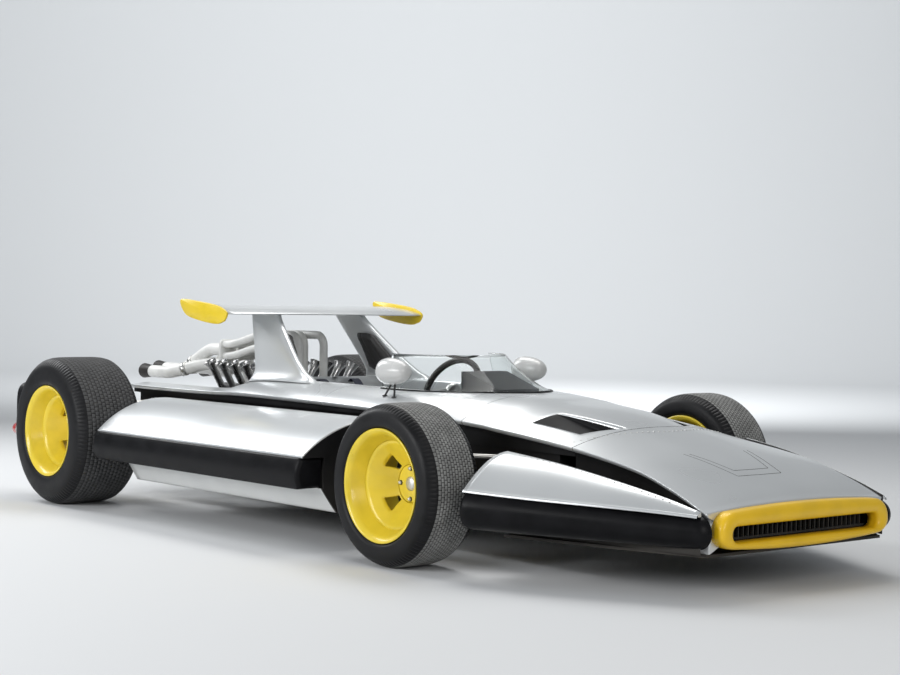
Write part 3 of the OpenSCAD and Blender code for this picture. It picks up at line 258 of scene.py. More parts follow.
def surface(name, colour, rough, metal=0.0, spread=0.18, gloss=0.08, broad=6.0, fine=220.0, bump=0.05,
            coat=0.0, dust=0.0, dust_top=0.45, shine=0.5):
    """Principled material: the broad noise varies colour by spread and roughness by gloss, the fine one is the
    bump, and dust lies on what is lower than dust_top."""
    material = bpy.data.materials.new(name)
    material.use_nodes = True
    tree, shader = material.node_tree, shader_of(material)
    life = tree.nodes.new("ShaderNodeGroup")
    life.node_tree = surface_life
    set_inputs(life, {"Broad": broad, "Fine": fine})
    tone = life.outputs["Tone"]
    colour = np.array(colour)
    shade = mixed(tree, mapped(tree, tone, TONE_LOW, TONE_HIGH, 0, 1), colour * (1 - spread),
                  np.minimum(colour * (1 + spread), 1))
    if dust:
        low = mapped(tree, life.outputs["Height"], DUST_FOOT, dust_top, dust, 0)
        shade = mixed(tree, multiplied(tree, low, tone), shade, DUST)
    tree.links.new(shade, shader.inputs["Base Color"])
    dullness = mapped(tree, tone, TONE_LOW, TONE_HIGH, max(rough - gloss, LEAST_ROUGH), min(rough + gloss, 1))
    tree.links.new(dullness, shader.inputs["Roughness"])
    set_inputs(shader, {"Metallic": metal, "Coat Weight": coat, "Coat Roughness": COAT_ROUGH,
                        "Specular IOR Level": shine})
    grain = tree.nodes.new("ShaderNodeBump")
    set_inputs(grain, {"Strength": bump, "Distance": GRAIN_DEPTH})
    tree.links.new(life.outputs["Grain"], grain.inputs["Height"])
    tree.links.new(grain.outputs["Normal"], shader.inputs["Normal"])
    return material


def dress(material, *names):
    """Puts one material on CAD nodes."""
    for name in names:
        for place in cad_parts[name].material_slots:
            place.material = material


def finished(piece, body, slot, *materials, stands_for=()):
    """Gives a new piece its materials, its body and the CAD nodes that it stands for; its slot is not used."""
    for material in materials:
        piece.data.materials.append(material)
    if stands_for:
        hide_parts(*stands_for)
    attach(piece, body)


tub_black = surface("tub_black", (0.012, 0.012, 0.013), 0.50, spread=0.35, gloss=0.12, bump=0.06, dust=0.25,
                    shine=0.12)
radiator_core = surface("radiator_core", (0.05, 0.05, 0.05), 0.6, metal=0.5, spread=0.3, fine=900, bump=0.6)
dress(tub_black, "floor_pan", "monocoque", "arch_liners", "rear_frame")
dress(radiator_core, "radiator")

# Cockpit shell: one moulding in silver paint from the tail rails to the scuttle, about 3 mm thick, with a
# rolled edge round the cockpit and an undercut below the shoulder. It is screwed to the tub along the sill.
# The undercut takes the tub's black, which is painted shade for the concave strip under the shoulder.
X_FRONT, X_REAR, WHEELBASE, NOSE_REACH = 0.8725, -1.5275, 2.4, 1.215
DECK, BODY_HALF, SILL, EDGE_STEP, PANEL_GAP = 0.610, 0.465, 0.500, 0.018, 0.003
BODY = np.array([  # place, half width, edge height and crown height as shares, squareness
    [-1.054, 0.978, 0.877, 0.905, 4], [-0.875, 0.989, 0.877, 0.907, 4], [-0.75, 0.994, 0.882, 0.915, 5],
    [-0.675, 0.996, 0.89, 0.989, 6], [-0.5, 1, 0.885, 1, 6.5], [-0.333, 0.996, 0.875, 1, 6],
    [-0.208, 0.972, 0.862, 0.997, 5], [-0.125, 0.946, 0.849, 0.993, 4], [-0.05, 0.92, 0.833, 0.984, 3],
    [0.041, 0.912, 0.81, 0.957, 2.7], [0.206, 0.925, 0.782, 0.918, 2.5], [0.37, 0.946, 0.751, 0.856, 2.3],
    [0.535, 0.963, 0.71, 0.779, 2.2], [0.7, 0.981, 0.651, 0.695, 2.2], [0.823, 0.996, 0.574, 0.611, 2.2],
    [0.905, 1.009, 0.51, 0.549, 2.2], [0.955, 1.015, 0.464, 0.5, 2.2]])
LIP = np.array([[-0.001, -0.006], [-0.006, -0.013], [-0.012, -0.0165], [-EDGE_STEP, -EDGE_STEP]])
X_TAIL, X_BULKHEAD, X_SCUTTLE = -1.6595, -0.7475, 0.7525
OPENING_BACK, OPENING_BEND, OPENING_REACH, OPENING_HALF = -0.6275, 0.1225, 0.535, 0.285
BAY_HALF, COAMING_ROLL, ROLL_SHARE = 0.345, 0.012, 0.3
RAIL_Y, RAIL_Z = 0.40, 0.52
UNDERCUT = 4


def between(first, last, share):
    """The value at a share of the way from first to last."""
    return first + (last - first) * share


def smooth(table, place, column):
    """Cubic curve through a table's rows, with each row's slope taken from its neighbours."""
    place = np.asarray(place, float)
    last = len(table) - 1
    below, above = np.maximum(np.arange(last + 1) - 1, 0), np.minimum(np.arange(last + 1) + 1, last)
    slope = (table[above, column] - table[below, column]) / (table[above, 0] - table[below, 0])
    i = np.clip(np.searchsorted(table[:, 0], place, side="right") - 1, 0, last - 1)
    step = table[i + 1, 0] - table[i, 0]
    u = (place - table[i, 0]) / step
    return (table[i, column] * (2 * u ** 3 - 3 * u ** 2 + 1) + table[i + 1, column] * (3 * u ** 2 - 2 * u ** 3)
            + step * slope[i] * (u ** 3 - 2 * u ** 2 + u) + step * slope[i + 1] * (u ** 3 - u ** 2))


def body_at(x):
    """Half width, edge height, crown height and squareness of the body's section at x."""
    place = (x - X_FRONT) / np.where(x < X_FRONT, WHEELBASE, NOSE_REACH)
    return [smooth(BODY, place, k + 1) * scale for k, scale in enumerate((BODY_HALF, DECK, DECK, 1))]


def body_z(x, y):
    """Height of the body's skin: the crown falls to the edge with a power of the share of the half width."""
    half, edge, crown, square = body_at(x)
    return edge + (crown - edge) * (1 - np.minimum(1, np.abs(y) / half) ** square)


def opening_edge(x):
    """Half width of the cockpit opening, a half ellipse ahead of the bend."""
    ahead = np.clip((x - OPENING_BEND) / OPENING_REACH, 0, 1)
    return OPENING_HALF * np.sqrt(1 - ahead ** 2)


def shell_strip(x, inner, side):
    """One side of the shell over stations x: up the inner wall, round the rolled edge, over the crown, round
    the shoulder and down the undercut to the sill."""
    half, edge = (part[:, None] for part in body_at(x)[:2])
    inner = (inner * np.ones_like(x))[:, None]
    roll = np.minimum(COAMING_ROLL, ROLL_SHARE * inner)
    crest = inner + roll
    y_roll = inner + roll * (1 - np.cos(quarter(6)))
    z_roll = body_z(x[:, None], crest) - roll * (1 - np.sin(quarter(6)))
    rise, drop = steps(7)[:-1], steps(4)[1:]
    bay = np.maximum(BAY_HALF, crest)
    y_top = np.concatenate([between(crest, bay, steps(16)[1:]),
                            between(bay, half, np.sin(quarter(26))[1:])], 1)
    y = np.concatenate([inner + 0 * rise, y_roll, y_top, half + LIP[:, 0], half - EDGE_STEP + 0 * drop], 1)
    z = np.concatenate([between(SILL, z_roll[:, :1], rise), z_roll, body_z(x[:, None], y_top),
                        edge + LIP[:, 1], between(edge - EDGE_STEP, SILL, drop)], 1)
    return xyz(x[:, None], side * y, z)


def shell_wall(x, half):
    """Upright wall across the car at x from the sill to the skin, out to half on each side."""
    y = np.linspace(-half, half, 25)[:, None]
    return xyz(x, y, between(SILL, body_z(x + 0 * y, y), steps(7)))


def fan(line, point):
    """A line of points joined to one point, which closes the face inside the line."""
    return np.stack([line, np.asarray(point) + 0 * line])


def slot_columns(columns, first, last):
    """Material slots of a grid's columns of cells: 1 on the first few and on the last few, 0 between."""
    slots = np.zeros((1, columns), np.int32)
    slots[0, :first] = 1
    slots[0, columns - last:] = 1
    return slots


rails = np.linspace(X_TAIL, X_BULKHEAD, 30)
back_deck = np.linspace(X_BULKHEAD, OPENING_BACK, 7)
bend = OPENING_BEND + OPENING_REACH * np.sin(quarter(34))
cockpit = np.concatenate([np.linspace(OPENING_BACK, OPENING_BEND, 26)[:-1], bend])
scuttle = np.linspace(bend[-1], X_SCUTTLE - PANEL_GAP / 2, 6)
stretches = ((rails, BAY_HALF), (back_deck, 0.0), (cockpit, opening_edge(cockpit)), (scuttle, 0.0))
strips = [shell_strip(x, inner, side) for side in (-1, 1) for x, inner in stretches]
tail_ends = [fan(strips[n][0], (X_TAIL, side * RAIL_Y, RAIL_Z)) for n, side in ((0, -1), (len(stretches), 1))]
walls = [shell_wall(X_BULKHEAD, BAY_HALF), shell_wall(OPENING_BACK, OPENING_HALF)]
silver = surface("body_silver", (0.70, 0.72, 0.73), 0.30, metal=0.50, spread=0.04, gloss=0.04, broad=2.0,
                 fine=45, bump=0.003, coat=0.25, dust=0.25, dust_top=0.30)
# The undercut's columns get the tub's black: painted shade under the shoulder.
under = slot_columns(strips[0].shape[1] - 1, 0, UNDERCUT)
shell = shape("cockpit_shell_skin", strips + tail_ends + walls, slots=[under] * len(strips) + [0] * 4)
finished(shell, "chassis", "body_silver", silver, tub_black, stands_for=("cockpit_shell",))

# Hood: the silver panel over the pedals, held by flush catches, with two radiator outlets let into it.
# Each outlet is a ramp that starts flush at the back and dives under a folded lip at the front. The ramp, the
# front wall and the side walls below the lip take the tub's black: painted shade for the dark opening into the
# duct.
HOOD_SEAT, X_NOSE_SEAM, SIDE_WALL = 0.420, 1.3731, 5
OUTLET_DEPTH, OUTLET_DIVE = 0.056, 0.9
OUTLET_IN, OUTLET_OUT = (0.235, 0.153), (0.347, 0.336)
OUTLET_REAR, OUTLET_LIP = (1.0765, 1.0605), (1.3605, 1.3035)
BEHIND, BESIDE, AHEAD = 11, 14, 5
INSIDE, ACROSS, OUTSIDE = 9, 12, 18


def skirt_columns(x, seat):
    """Columns below the body's edge at stations x: the rolled lip, then the set back wall down to the seat."""
    half, edge = (part[:, None] for part in body_at(x)[:2])
    drop = steps(5)[1:]
    y = np.concatenate([half + LIP[:, 0], half - EDGE_STEP + 0 * drop], 1)
    return y, np.concatenate([edge + LIP[:, 1], between(edge - EDGE_STEP, seat, drop)], 1)


def hood_half(side):
    """Half of the hood as rows along the car in three stretches (behind the outlet, beside it,
    ahead of its lip) and columns in three (inside the outlet, across it, outside it), with the mask
    of the cells that stay."""
    row = np.repeat([0, 1, 2], [BEHIND, BESIDE, AHEAD])[:, None]
    part = np.concatenate([steps(BEHIND + 1)[:-1], steps(BESIDE + 1)[:-1], steps(AHEAD)])[:, None]
    ahead = np.where(row == 0, 0, np.where(row == 1, part, 1))
    inner, outer = between(*OUTLET_IN, ahead), between(*OUTLET_OUT, ahead)
    across = np.concatenate([np.zeros(INSIDE), steps(ACROSS + 1), np.ones(OUTSIDE)])
    rear, lip = between(*OUTLET_REAR, across), between(*OUTLET_LIP, across)
    back, front = X_SCUTTLE + PANEL_GAP / 2, X_NOSE_SEAM - PANEL_GAP / 2
    x = np.where(row == 0, between(back, rear, part),
                 np.where(row == 1, between(rear, lip, part), between(lip, front, part)))
    half = body_at(x[:, -1])[0][:, None]
    y = np.concatenate([inner * steps(INSIDE + 1)[:-1], between(inner, outer, steps(ACROSS + 1)),
                        between(outer, half, np.sin(quarter(OUTSIDE + 1))[1:])], 1)
    y_skirt, z_skirt = skirt_columns(x[:, -1], HOOD_SEAT)
    z = np.concatenate([body_z(x, y), z_skirt], 1)
    x = np.concatenate([x, np.repeat(x[:, -1:], y_skirt.shape[1], 1)], 1)
    stay = np.ones((x.shape[0] - 1, x.shape[1] - 1), bool)
    stay[BEHIND:BEHIND + BESIDE, INSIDE:INSIDE + ACROSS] = False
    return xyz(x, side * np.concatenate([y, y_skirt], 1), z), stay


def outlet_tray(grid):
    """Ramp, side walls and front wall of the outlet, hung from the hole's edge in the hood's grid."""
    hole = grid[BEHIND:BEHIND + BESIDE + 1, INSIDE:INSIDE + ACROSS + 1]
    depth = OUTLET_DEPTH * steps(BESIDE + 1)[:, None] ** OUTLET_DIVE
    ramp = hole - xyz(0, 0, depth)
    edges = ((hole[:, 0], ramp[:, 0]), (hole[:, -1], ramp[:, -1]), (hole[-1], ramp[-1]))
    return [ramp] + [between(top, low, steps(5)[:, None, None]) for top, low in edges]


hood_grids, hood_stay, hood_slots = [], [], []
# The outlet's side walls are silver at the lip, then black below it: painted shade, as are the black ramp and
# front wall.
lip_then_painted_shade = np.array([[0], [1], [1], [1]])
for side in (-1, 1):
    grid, stay = hood_half(side)
    hood_grids += [grid] + outlet_tray(grid)
    hood_stay += [stay] + [None] * 4
    hood_slots += [slot_columns(grid.shape[1] - 1, 0, SIDE_WALL), 1, lip_then_painted_shade, lip_then_painted_shade, 1]
hood = shape("front_hood_skin", hood_grids, keep=hood_stay, slots=hood_slots)
finished(hood, "chassis", "body_silver", silver, tub_black, stands_for=("front_hood",))

# Nose cone: a thin silver moulding that widens and thins out towards the slot, over black side walls. A hatch
# with a double line gives access from above, and a row of rivets holds the front edge of the hood's duct.
X_RING, FLOOR_TOP, NOSE_ROUND = 2.0325, 0.150, 0.009
SLOT_HALF, SLOT_HEIGHT, SLOT_Z = 0.387, 0.052, 0.215
COLLAR_WIDE, COLLAR_HIGH, SILVER_ROWS = 0.88, 0.60, 2
FLIP = np.array([1, -1, 1])
nose_x = np.linspace(X_NOSE_SEAM + PANEL_GAP / 2, X_RING - NOSE_ROUND, 34)
nose_y = body_at(nose_x)[0][:, None] * np.sin(np.linspace(-np.pi / 2, np.pi / 2, 61))
nose_top = xyz(nose_x[:, None], nose_y, body_z(nose_x[:, None], nose_y))
nose_wall = xyz(nose_x[:, None], *skirt_columns(nose_x, FLOOR_TOP))
nose_grid = np.concatenate([(nose_wall * FLIP)[:, ::-1], nose_top, nose_wall], 1)
nose_slots = np.repeat(slot_columns(nose_grid.shape[1] - 1, SIDE_WALL, SIDE_WALL), len(nose_x) - 1, 0)
nose_slots[-SILVER_ROWS:] = 0
nose_edge = nose_grid[-1, :, 1:]
nose_core = nose_edge * np.array([COLLAR_WIDE, COLLAR_HIGH]) + np.array([0, (1 - COLLAR_HIGH) * SLOT_Z])
rounding = quarter(8)[:, None, None]
collar = nose_edge + unit(nose_core - nose_edge) * NOSE_ROUND * (1 - np.cos(rounding))
collar_yz = np.concatenate([collar, nose_core[None]])
collar_x = np.append(X_RING - NOSE_ROUND * (1 - np.sin(rounding)), X_RING)[:, None]
nose_front = xyz(collar_x, collar_yz[..., 0], collar_yz[..., 1])
nose_cone = shape("nose_cone_skin", [nose_grid, nose_front], slots=[nose_slots, 0])
finished(nose_cone, "chassis", "body_silver", silver, tub_black, stands_for=("nose_cone",))

LINE_WIDTH, LINE_LIFT, HEAD_SINK = 0.0032, 0.0005, 0.0004
HATCH_OUTER = np.array([[1.655, 0.17], [1.8595, 0.116], [1.8625, 0.0], [1.8595, -0.116], [1.655, -0.17]])
HATCH_INNER = np.array([[1.66, 0.145], [1.8195, 0.092], [1.822, 0.0], [1.8195, -0.092], [1.66, -0.145]])
DUCT_HALF, DUCT_X, DUCT_BOW, DUCT_POWER = 0.40, 1.340, 0.087, 1.6


def run_length(points):
    """Distance along a line of points from its start to each of them."""
    return np.concatenate([[0], np.cumsum(np.linalg.norm(np.diff(points, axis=0), axis=1))])


def heading(path):
    """Unit vectors along a path of points."""
    return unit(np.gradient(path, axis=0))


def line_on_body(corners):
    """Narrow ribbon over the body's skin along a bent line in plan, lifted in its middle."""
    length = run_length(corners)
    place = np.linspace(0, length[-1], 90)
    path = np.stack([np.interp(place, length, corners[:, k]) for k in (0, 1)], -1)
    run = heading(path)
    edge = np.stack([-run[:, 1], run[:, 0]], -1)[:, None] * np.linspace(-0.5, 0.5, 3)[:, None] * LINE_WIDTH
    x, y = np.moveaxis(path[:, None] + edge, -1, 0)
    return xyz(x, y, body_z(x, y) + LINE_LIFT * np.array([0, 1, 0]))


def domes(points, radius, height):
    """Small round heads on a skin at points, sunk into it a little."""
    around, up = np.meshgrid(circle(13), quarter(5), indexing="ij")
    head = xyz(radius * np.cos(around) * np.cos(up), radius * np.sin(around) * np.cos(up),
               height * np.sin(up) - HEAD_SINK)
    return list(points[:, None, None] + head)


seam_dark = surface("seam_dark", (0.03, 0.03, 0.03), 0.6, spread=0.3)
hatch = shape("nose_hatch_lines", [line_on_body(HATCH_OUTER), line_on_body(HATCH_INNER)])
finished(hatch, "chassis", "body_silver", seam_dark)
bare_alloy = surface("bare_alloy", (0.62, 0.62, 0.60), 0.34, metal=0.9, spread=0.12, fine=900, bump=0.05)
rivet_y = np.linspace(-DUCT_HALF, DUCT_HALF, 33)
rivet_x = DUCT_X + DUCT_BOW * (1 - (np.abs(rivet_y) / DUCT_HALF) ** DUCT_POWER)
rivet_points = xyz(rivet_x, rivet_y, body_z(rivet_x, rivet_y))
rivets = shape("hood_rivets", domes(rivet_points, radius=0.0042, height=0.0022))
finished(rivets, "chassis", "body_silver", bare_alloy)

# Nose ring: a half round yellow bumper of moulded foam round the air slot, glued to the front of the nose,
# with the slot's black grille bars set back in it.
RING_HALF, RING_LOW, RING_HIGH, RING_CORNER, RING_DEPTH = 0.447, 0.152, 0.286, 0.062, 0.055
RING_CROWN, RING_CLIMB, RING_GLUE = 0.016, 0.020, 0.0003
RING_BACK, RING_SIDE, RING_FULL = 0.35, 0.55, 0.8


def rounded_outline(half, low, high, corner, crown, lift):
    """Closed outline (y, z) from the middle of the bottom round a box with round corners; the top is
    crowned and the bottom climbs to the ends. Each stretch has a fixed count of points, so that two
    outlines can be joined."""
    turn, side, line = quarter(13)[1:], steps(7)[1:], steps(41)[1:]
    flat, tall = half - corner, high - low - 2 * corner
    y = [flat * line, flat + corner * np.sin(turn), half + 0 * side, flat + corner * np.cos(turn),
         flat * (1 - 2 * line), -flat - corner * np.sin(turn), -half + 0 * side, -flat - corner * np.cos(turn),
         -flat * (1 - line)]
    z = [low + 0 * line, low + corner * (1 - np.cos(turn)), low + corner + tall * side,
         high - corner * (1 - np.sin(turn)), high + 0 * line, high - corner * (1 - np.cos(turn)),
         high - corner - tall * side, low + corner * (1 - np.sin(turn)), low + 0 * line]
    y, z = np.concatenate([[0.0]] + y), np.concatenate([[low]] + z)
    rise = crown * (1 - (y / half) ** 2) * np.clip((z - low) / (high - low) * 2 - 1, 0, 1)
    climb = lift * (y / half) ** 2 * np.clip(1 - (z - low) / corner, 0, 1)
    return np.stack([y, z + rise + climb], -1)


ring_out = rounded_outline(RING_HALF, RING_LOW, RING_HIGH, RING_CORNER, RING_CROWN, RING_CLIMB)
slot_half = SLOT_HEIGHT / 2
ring_in = rounded_outline(SLOT_HALF, SLOT_Z - slot_half, SLOT_Z + slot_half, slot_half - 1e-4, 0, 0)
bulge = np.linspace(0, np.pi, 25)
across = np.concatenate([[0, 0], (1 - np.cos(bulge)) / 2, [1, 1]])[:, None, None]
depth = np.concatenate([[0, RING_BACK], between(RING_SIDE, 1, np.sin(bulge) ** RING_FULL), [RING_BACK, 0]])
ring_yz = ring_out * (1 - across) + ring_in * across
ring_grid = xyz(X_RING + RING_GLUE + RING_DEPTH * depth[:, None], ring_yz[..., 0], ring_yz[..., 1])
ring_yellow = surface("ring_yellow", (0.90, 0.56, 0.010), 0.40, spread=0.06, gloss=0.08, broad=9, fine=500,
                      bump=0.04, coat=0.15)
nose_ring = shape("nose_ring_foam", [np.concatenate([ring_grid, ring_grid[:1]])])
finished(nose_ring, "chassis", "trim_yellow", ring_yellow, stands_for=("nose_ring",))
dress(seam_dark, "grille")

# Front pods: silver fairings ahead of the front wheels. Their inner walls are black, the back follows the
# wheel arch, and the outer edge sits on a thick roll of black foam rubber.
NOSE_END_HALF, POD_HALF = 0.472, 0.955
NOSE_TO_POD = POD_HALF - NOSE_END_HALF
ARCH_Z, ARCH_R, FRONT_ARCH_R = 0.297, 0.450, 0.400
FRONT_POD = np.array([  # share of the nose reach, inner edge and its height, outer edge and its height
    [0.29, 0.345, 0.724, 0.848, 0.527], [0.497, 0.262, 0.674, 0.607, 0.504],
    [0.695, 0.165, 0.602, 0.381, 0.49], [0.85, 0.082, 0.533, 0.185, 0.476],
    [0.948, 0.03, 0.478, 0.062, 0.463]])
POD_START, POD_END, POD_BULGE = 0.32, 0.948, 0.42
POD_TIP_LOW, ARCH_WALL_OUT, RIM_OUT, RIM_DOWN = 0.276, 0.308, 0.006, 0.010
RIVETS_FROM, RIVETS_TO, RIVET_INSET = 0.36, 0.86, 0.012


def front_pod_point(place, across):
    """Front pod's skin at a share of the nose reach and a share of the way from its inner to its outer edge: a
    straight line between the edges, raised by a parabola."""
    inner, outer = (NOSE_END_HALF + NOSE_TO_POD * smooth(FRONT_POD, place, column) for column in (1, 3))
    z = DECK * (smooth(FRONT_POD, place, 2) * (1 - across) + smooth(FRONT_POD, place, 4) * across)
    return xyz(X_FRONT + place * NOSE_REACH, between(inner, outer, across),
               z + POD_BULGE * (outer - inner) * across * (1 - across))


def arch_x(z, ahead):
    """Where the round wheel arch cuts the height z, ahead of (1) or behind (-1) the axle."""
    radius = FRONT_ARCH_R if ahead > 0 else ARCH_R
    return X_FRONT + ahead * np.sqrt(np.maximum(radius ** 2 - (z - ARCH_Z) ** 2, 0))


def hung_wall(line, floor):
    """Wall that hangs from a line of points straight down to a height."""
    low = line * np.array([1, 1, 0]) + np.array([0, 0, floor])
    return between(line[:, None], low[:, None], steps(8)[:, None])


def both_sides(*grids):
    """Grids of the left side, then their mirror images on the right."""
    return [*grids, *(grid * FLIP for grid in grids)]


pod_across = steps(25)
pod_start = np.full(25, POD_START)
for _ in range(12):
    pod_start = (arch_x(front_pod_point(pod_start, pod_across)[:, 2], 1) - X_FRONT) / NOSE_REACH
pod_share = steps(40)[:, None]
pod_skin = front_pod_point(pod_start * (1 - pod_share) + POD_END * pod_share, pod_across)
arch_line, arch_drop = pod_skin[0], steps(12)
arch_foot = np.linspace(FLOOR_TOP, ARCH_WALL_OUT, 25)[:, None]
arch_wall_z = arch_line[:, 2:] * (1 - arch_drop) + arch_foot * arch_drop
arch_wall = xyz(arch_x(arch_wall_z, 1), arch_line[:, 1:2], arch_wall_z)
edge_roll = quarter(6)
rim_bead = pod_skin[:, -1:] + xyz(0, RIM_OUT * np.sin(edge_roll), -RIM_DOWN * (1 - np.cos(edge_roll)))
inner_wall, tip_wall = hung_wall(pod_skin[:, 0], FLOOR_TOP), hung_wall(pod_skin[-1], POD_TIP_LOW)
pod_grids = [pod_skin, inner_wall, arch_wall, rim_bead, tip_wall]
front_pods = shape("front_pod_skins", [grid * FLIP for grid in pod_grids] + pod_grids,
                   slots=[0, 1, 1, 0, 0] * 2)
finished(front_pods, "chassis", "body_silver", silver, tub_black, stands_for=("front_pods",))
rivet_place = np.linspace(RIVETS_FROM, RIVETS_TO, 24)
pod_width = NOSE_TO_POD * (smooth(FRONT_POD, rivet_place, 3) - smooth(FRONT_POD, rivet_place, 1))
rivet_row = front_pod_point(rivet_place, RIVET_INSET / pod_width)
pod_heads = [head for row in both_sides(rivet_row) for head in domes(row, radius=0.0036, height=0.0024)]
pod_rivets = shape("front_pod_rivets", pod_heads)
finished(pod_rivets, "chassis", "body_silver", bare_alloy)

ROLL_REAR, ROLL_FRONT = np.array([1.2735, 0.8004, 0.250]), np.array([2.0049, 0.466, 0.222])
ROLL_R, ROLL_TIP_R, NOSE_CLEAR, POLE = 0.075, 0.0565, 0.4735, 1e-5
roll_run = unit(ROLL_FRONT - ROLL_REAR)
roll_side = unit(np.cross((0, 0, 1), roll_run))
roll_up = np.cross(roll_run, roll_side)


def roll_ring(radius):
    """Offsets from the roll's axis, one ring for each radius."""
    turn = circle(49)[:, None]
    return radius[:, None, None] * (np.cos(turn) * roll_side + np.sin(turn) * roll_up)


def along_to_arch(offset):
    """How far along the roll's axis a line beside it leaves the round wheel arch."""
    start = ROLL_REAR + offset - np.array([X_FRONT, 0, ARCH_Z])
    a = roll_run[0] ** 2 + roll_run[2] ** 2
    b = start[..., 0] * roll_run[0] + start[..., 2] * roll_run[2]
    c = start[..., 0] ** 2 + start[..., 2] ** 2 - FRONT_ARCH_R ** 2
    return (-b + np.sqrt(b * b - a * c)) / a


def roll_rows(radius, reach):
    """Rings of the roll with those radii, each as far along the axis as it reaches, but clear of the arch."""
    offset = roll_ring(radius)
    return ROLL_REAR + offset + np.maximum(along_to_arch(offset), reach[:, None])[..., None] * roll_run


ball, side_share = quarter(16), steps(24)
cap = roll_rows(ROLL_R * np.sin(ball) + POLE, -ROLL_R * np.cos(ball))
wall = roll_rows(between(ROLL_R, ROLL_TIP_R, side_share), np.linalg.norm(ROLL_FRONT - ROLL_REAR) * side_share)
tip_reach = (ROLL_TIP_R * np.sin(ball))[:, None, None]
tip = ROLL_FRONT + roll_ring(ROLL_TIP_R * np.cos(ball) + POLE) + tip_reach * roll_run
roll = np.concatenate([cap, wall[1:], tip[1:]])
roll[..., 1] = np.maximum(roll[..., 1], NOSE_CLEAR)
rubber_black = surface("rubber_black", (0.006, 0.006, 0.007), 0.38, spread=0.30, gloss=0.08, broad=14,
                       fine=420, bump=0.06, shine=0.12)
front_rubber = shape("front_rubber_rolls", both_sides(roll))
finished(front_rubber, "chassis", "rubber_pad", rubber_black, stands_for=("front_rubber",))

# Side pods: long silver fuel pods between the wheels with a bright bead round the wheel arch, a band of black
# foam rubber along the outer face and a pale skirt below that slants in to the floor.
POD_INNER, POD_TOP_OUT, POD_REAR, END_ROUND, INNER_CELLS = 0.560, 0.935, -1.1455, 0.034, 8
CROWN_Y, CROWN_Z, CROWN_R, CROWN_STEP = 0.610, 0.050, 0.454, 0.001
RUBBER_LOW, RUBBER_HIGH, RUBBER_Y, RUBBER_Z, RUBBER_R = 0.243, 0.362, 0.825, 0.2985, 0.130
POD_CORE_Y, POD_CORE_Z, POD_TUCK, INNER_SEAM, BEAD_R = 0.66, 0.38, 0.004, 0.002, 0.004
STEEP = 0.8
crown_in, crown_out = np.arcsin((np.array([POD_INNER, POD_TOP_OUT - CROWN_STEP]) - CROWN_Y) / CROWN_R)
crown_turn = np.linspace(crown_in, crown_out, 44)
crown_y, crown_z = CROWN_Y + CROWN_R * np.sin(crown_turn), CROWN_Z + CROWN_R * np.cos(crown_turn)
inner_z = between(RUBBER_LOW, crown_z[0], steps(INNER_CELLS + 1)[1:-1])
section_y = np.concatenate([np.full(INNER_CELLS, POD_INNER), crown_y, [POD_TOP_OUT, POD_TOP_OUT - POD_TUCK]])
section_z = np.concatenate([inner_z, [crown_z[0] - INNER_SEAM], crown_z, [RUBBER_HIGH, RUBBER_HIGH]])


def pod_length(section_y, section_z, end, rows):
    """Section run along the car from the wheel arch to the rounded back end; the end rolls
    in by a quarter round."""
    start = arch_x(section_z, -1)
    body = xyz(between(start, end + END_ROUND, steps(rows)[:, None]), section_y, section_z)
    turn = quarter(9)[1:, None]
    normal = unit(np.stack([-np.gradient(section_z), np.gradient(section_y)], -1))
    normal[-2:] = normal[-3]
    inset = END_ROUND * (1 - np.cos(turn))
    rolled = xyz(end + END_ROUND * (1 - np.sin(turn)), section_y - normal[:, 0] * inset,
                 section_z - normal[:, 1] * inset)
    return np.concatenate([body, rolled])


side_skin = pod_length(section_y, section_z, POD_REAR, 60)
end_face = fan(side_skin[-1], (POD_REAR, POD_CORE_Y, POD_CORE_Z))
side_slots = slot_columns(len(section_y) - 1, INNER_CELLS, 0)
side_pods = shape("side_pod_skins", both_sides(side_skin, end_face), slots=[side_slots, 0] * 2)
finished(side_pods, "chassis", "body_silver", silver, tub_black, stands_for=("side_pods",))


def capped(grid, path=None):
    """Loops closed at both ends: with their own middles, or with the ends of the path that they stand on."""
    middle = (grid.mean(1, keepdims=True) if path is None else path[:, None]) + 0 * grid
    return np.concatenate([middle[:1], grid, middle[-1:]])


def tube(path, radius, count=12):
    """Round closed tube along a path, with its loops square to the run."""
    run = heading(path)
    first = unit(np.cross(run, np.where(np.abs(run[:1, 2:]) < STEEP, [[0, 0, 1.0]], [[0, 1.0, 0]])))[:, None]
    second = np.cross(run[:, None], first)
    turn = circle(count + 1)[:, None]
    return capped(path[:, None] + radius * (np.cos(turn) * first + np.sin(turn) * second), path)


bead = tube(xyz(arch_x(crown_z, -1), crown_y, crown_z), BEAD_R)
arch_bead = shape("pod_arch_beads", both_sides(bead))
finished(arch_bead, "chassis", "body_silver", bare_alloy)

RUBBER_IN, RUBBER_NECK, RUBBER_SKIN, RUBBER_GAP = 0.845, 0.90, 0.001, 0.002
RUBBER_END, RUBBER_ROUND, FRONT_ROUND = -1.1675, 0.055, 0.018
END_TAPER, FRONT_TAPER = (0.25, 0.55), (0.84, 0.70)
RUBBER_MID = (RUBBER_LOW + RUBBER_HIGH) / 2
rubber_z = np.linspace(RUBBER_LOW, RUBBER_HIGH, 20)
rubber_y = RUBBER_Y + np.sqrt(RUBBER_R ** 2 - (rubber_z - RUBBER_Z) ** 2)
band_y = np.concatenate([[RUBBER_IN, RUBBER_NECK], rubber_y, [RUBBER_NECK, RUBBER_IN]])
band_z = np.concatenate([[RUBBER_LOW + RUBBER_SKIN] * 2, rubber_z, [RUBBER_HIGH - RUBBER_SKIN] * 2])
band_start = arch_x(band_z, -1) - RUBBER_GAP


def band_end(x, turn, taper):
    """Rounded end of the rubber band: its loop shrinks to shares of its width and
    height over a quarter turn."""
    return xyz(x, RUBBER_IN + (band_y - RUBBER_IN) * between(taper[0], 1, np.cos(turn)),
               RUBBER_MID + (band_z - RUBBER_MID) * between(taper[1], 1, np.cos(turn)))


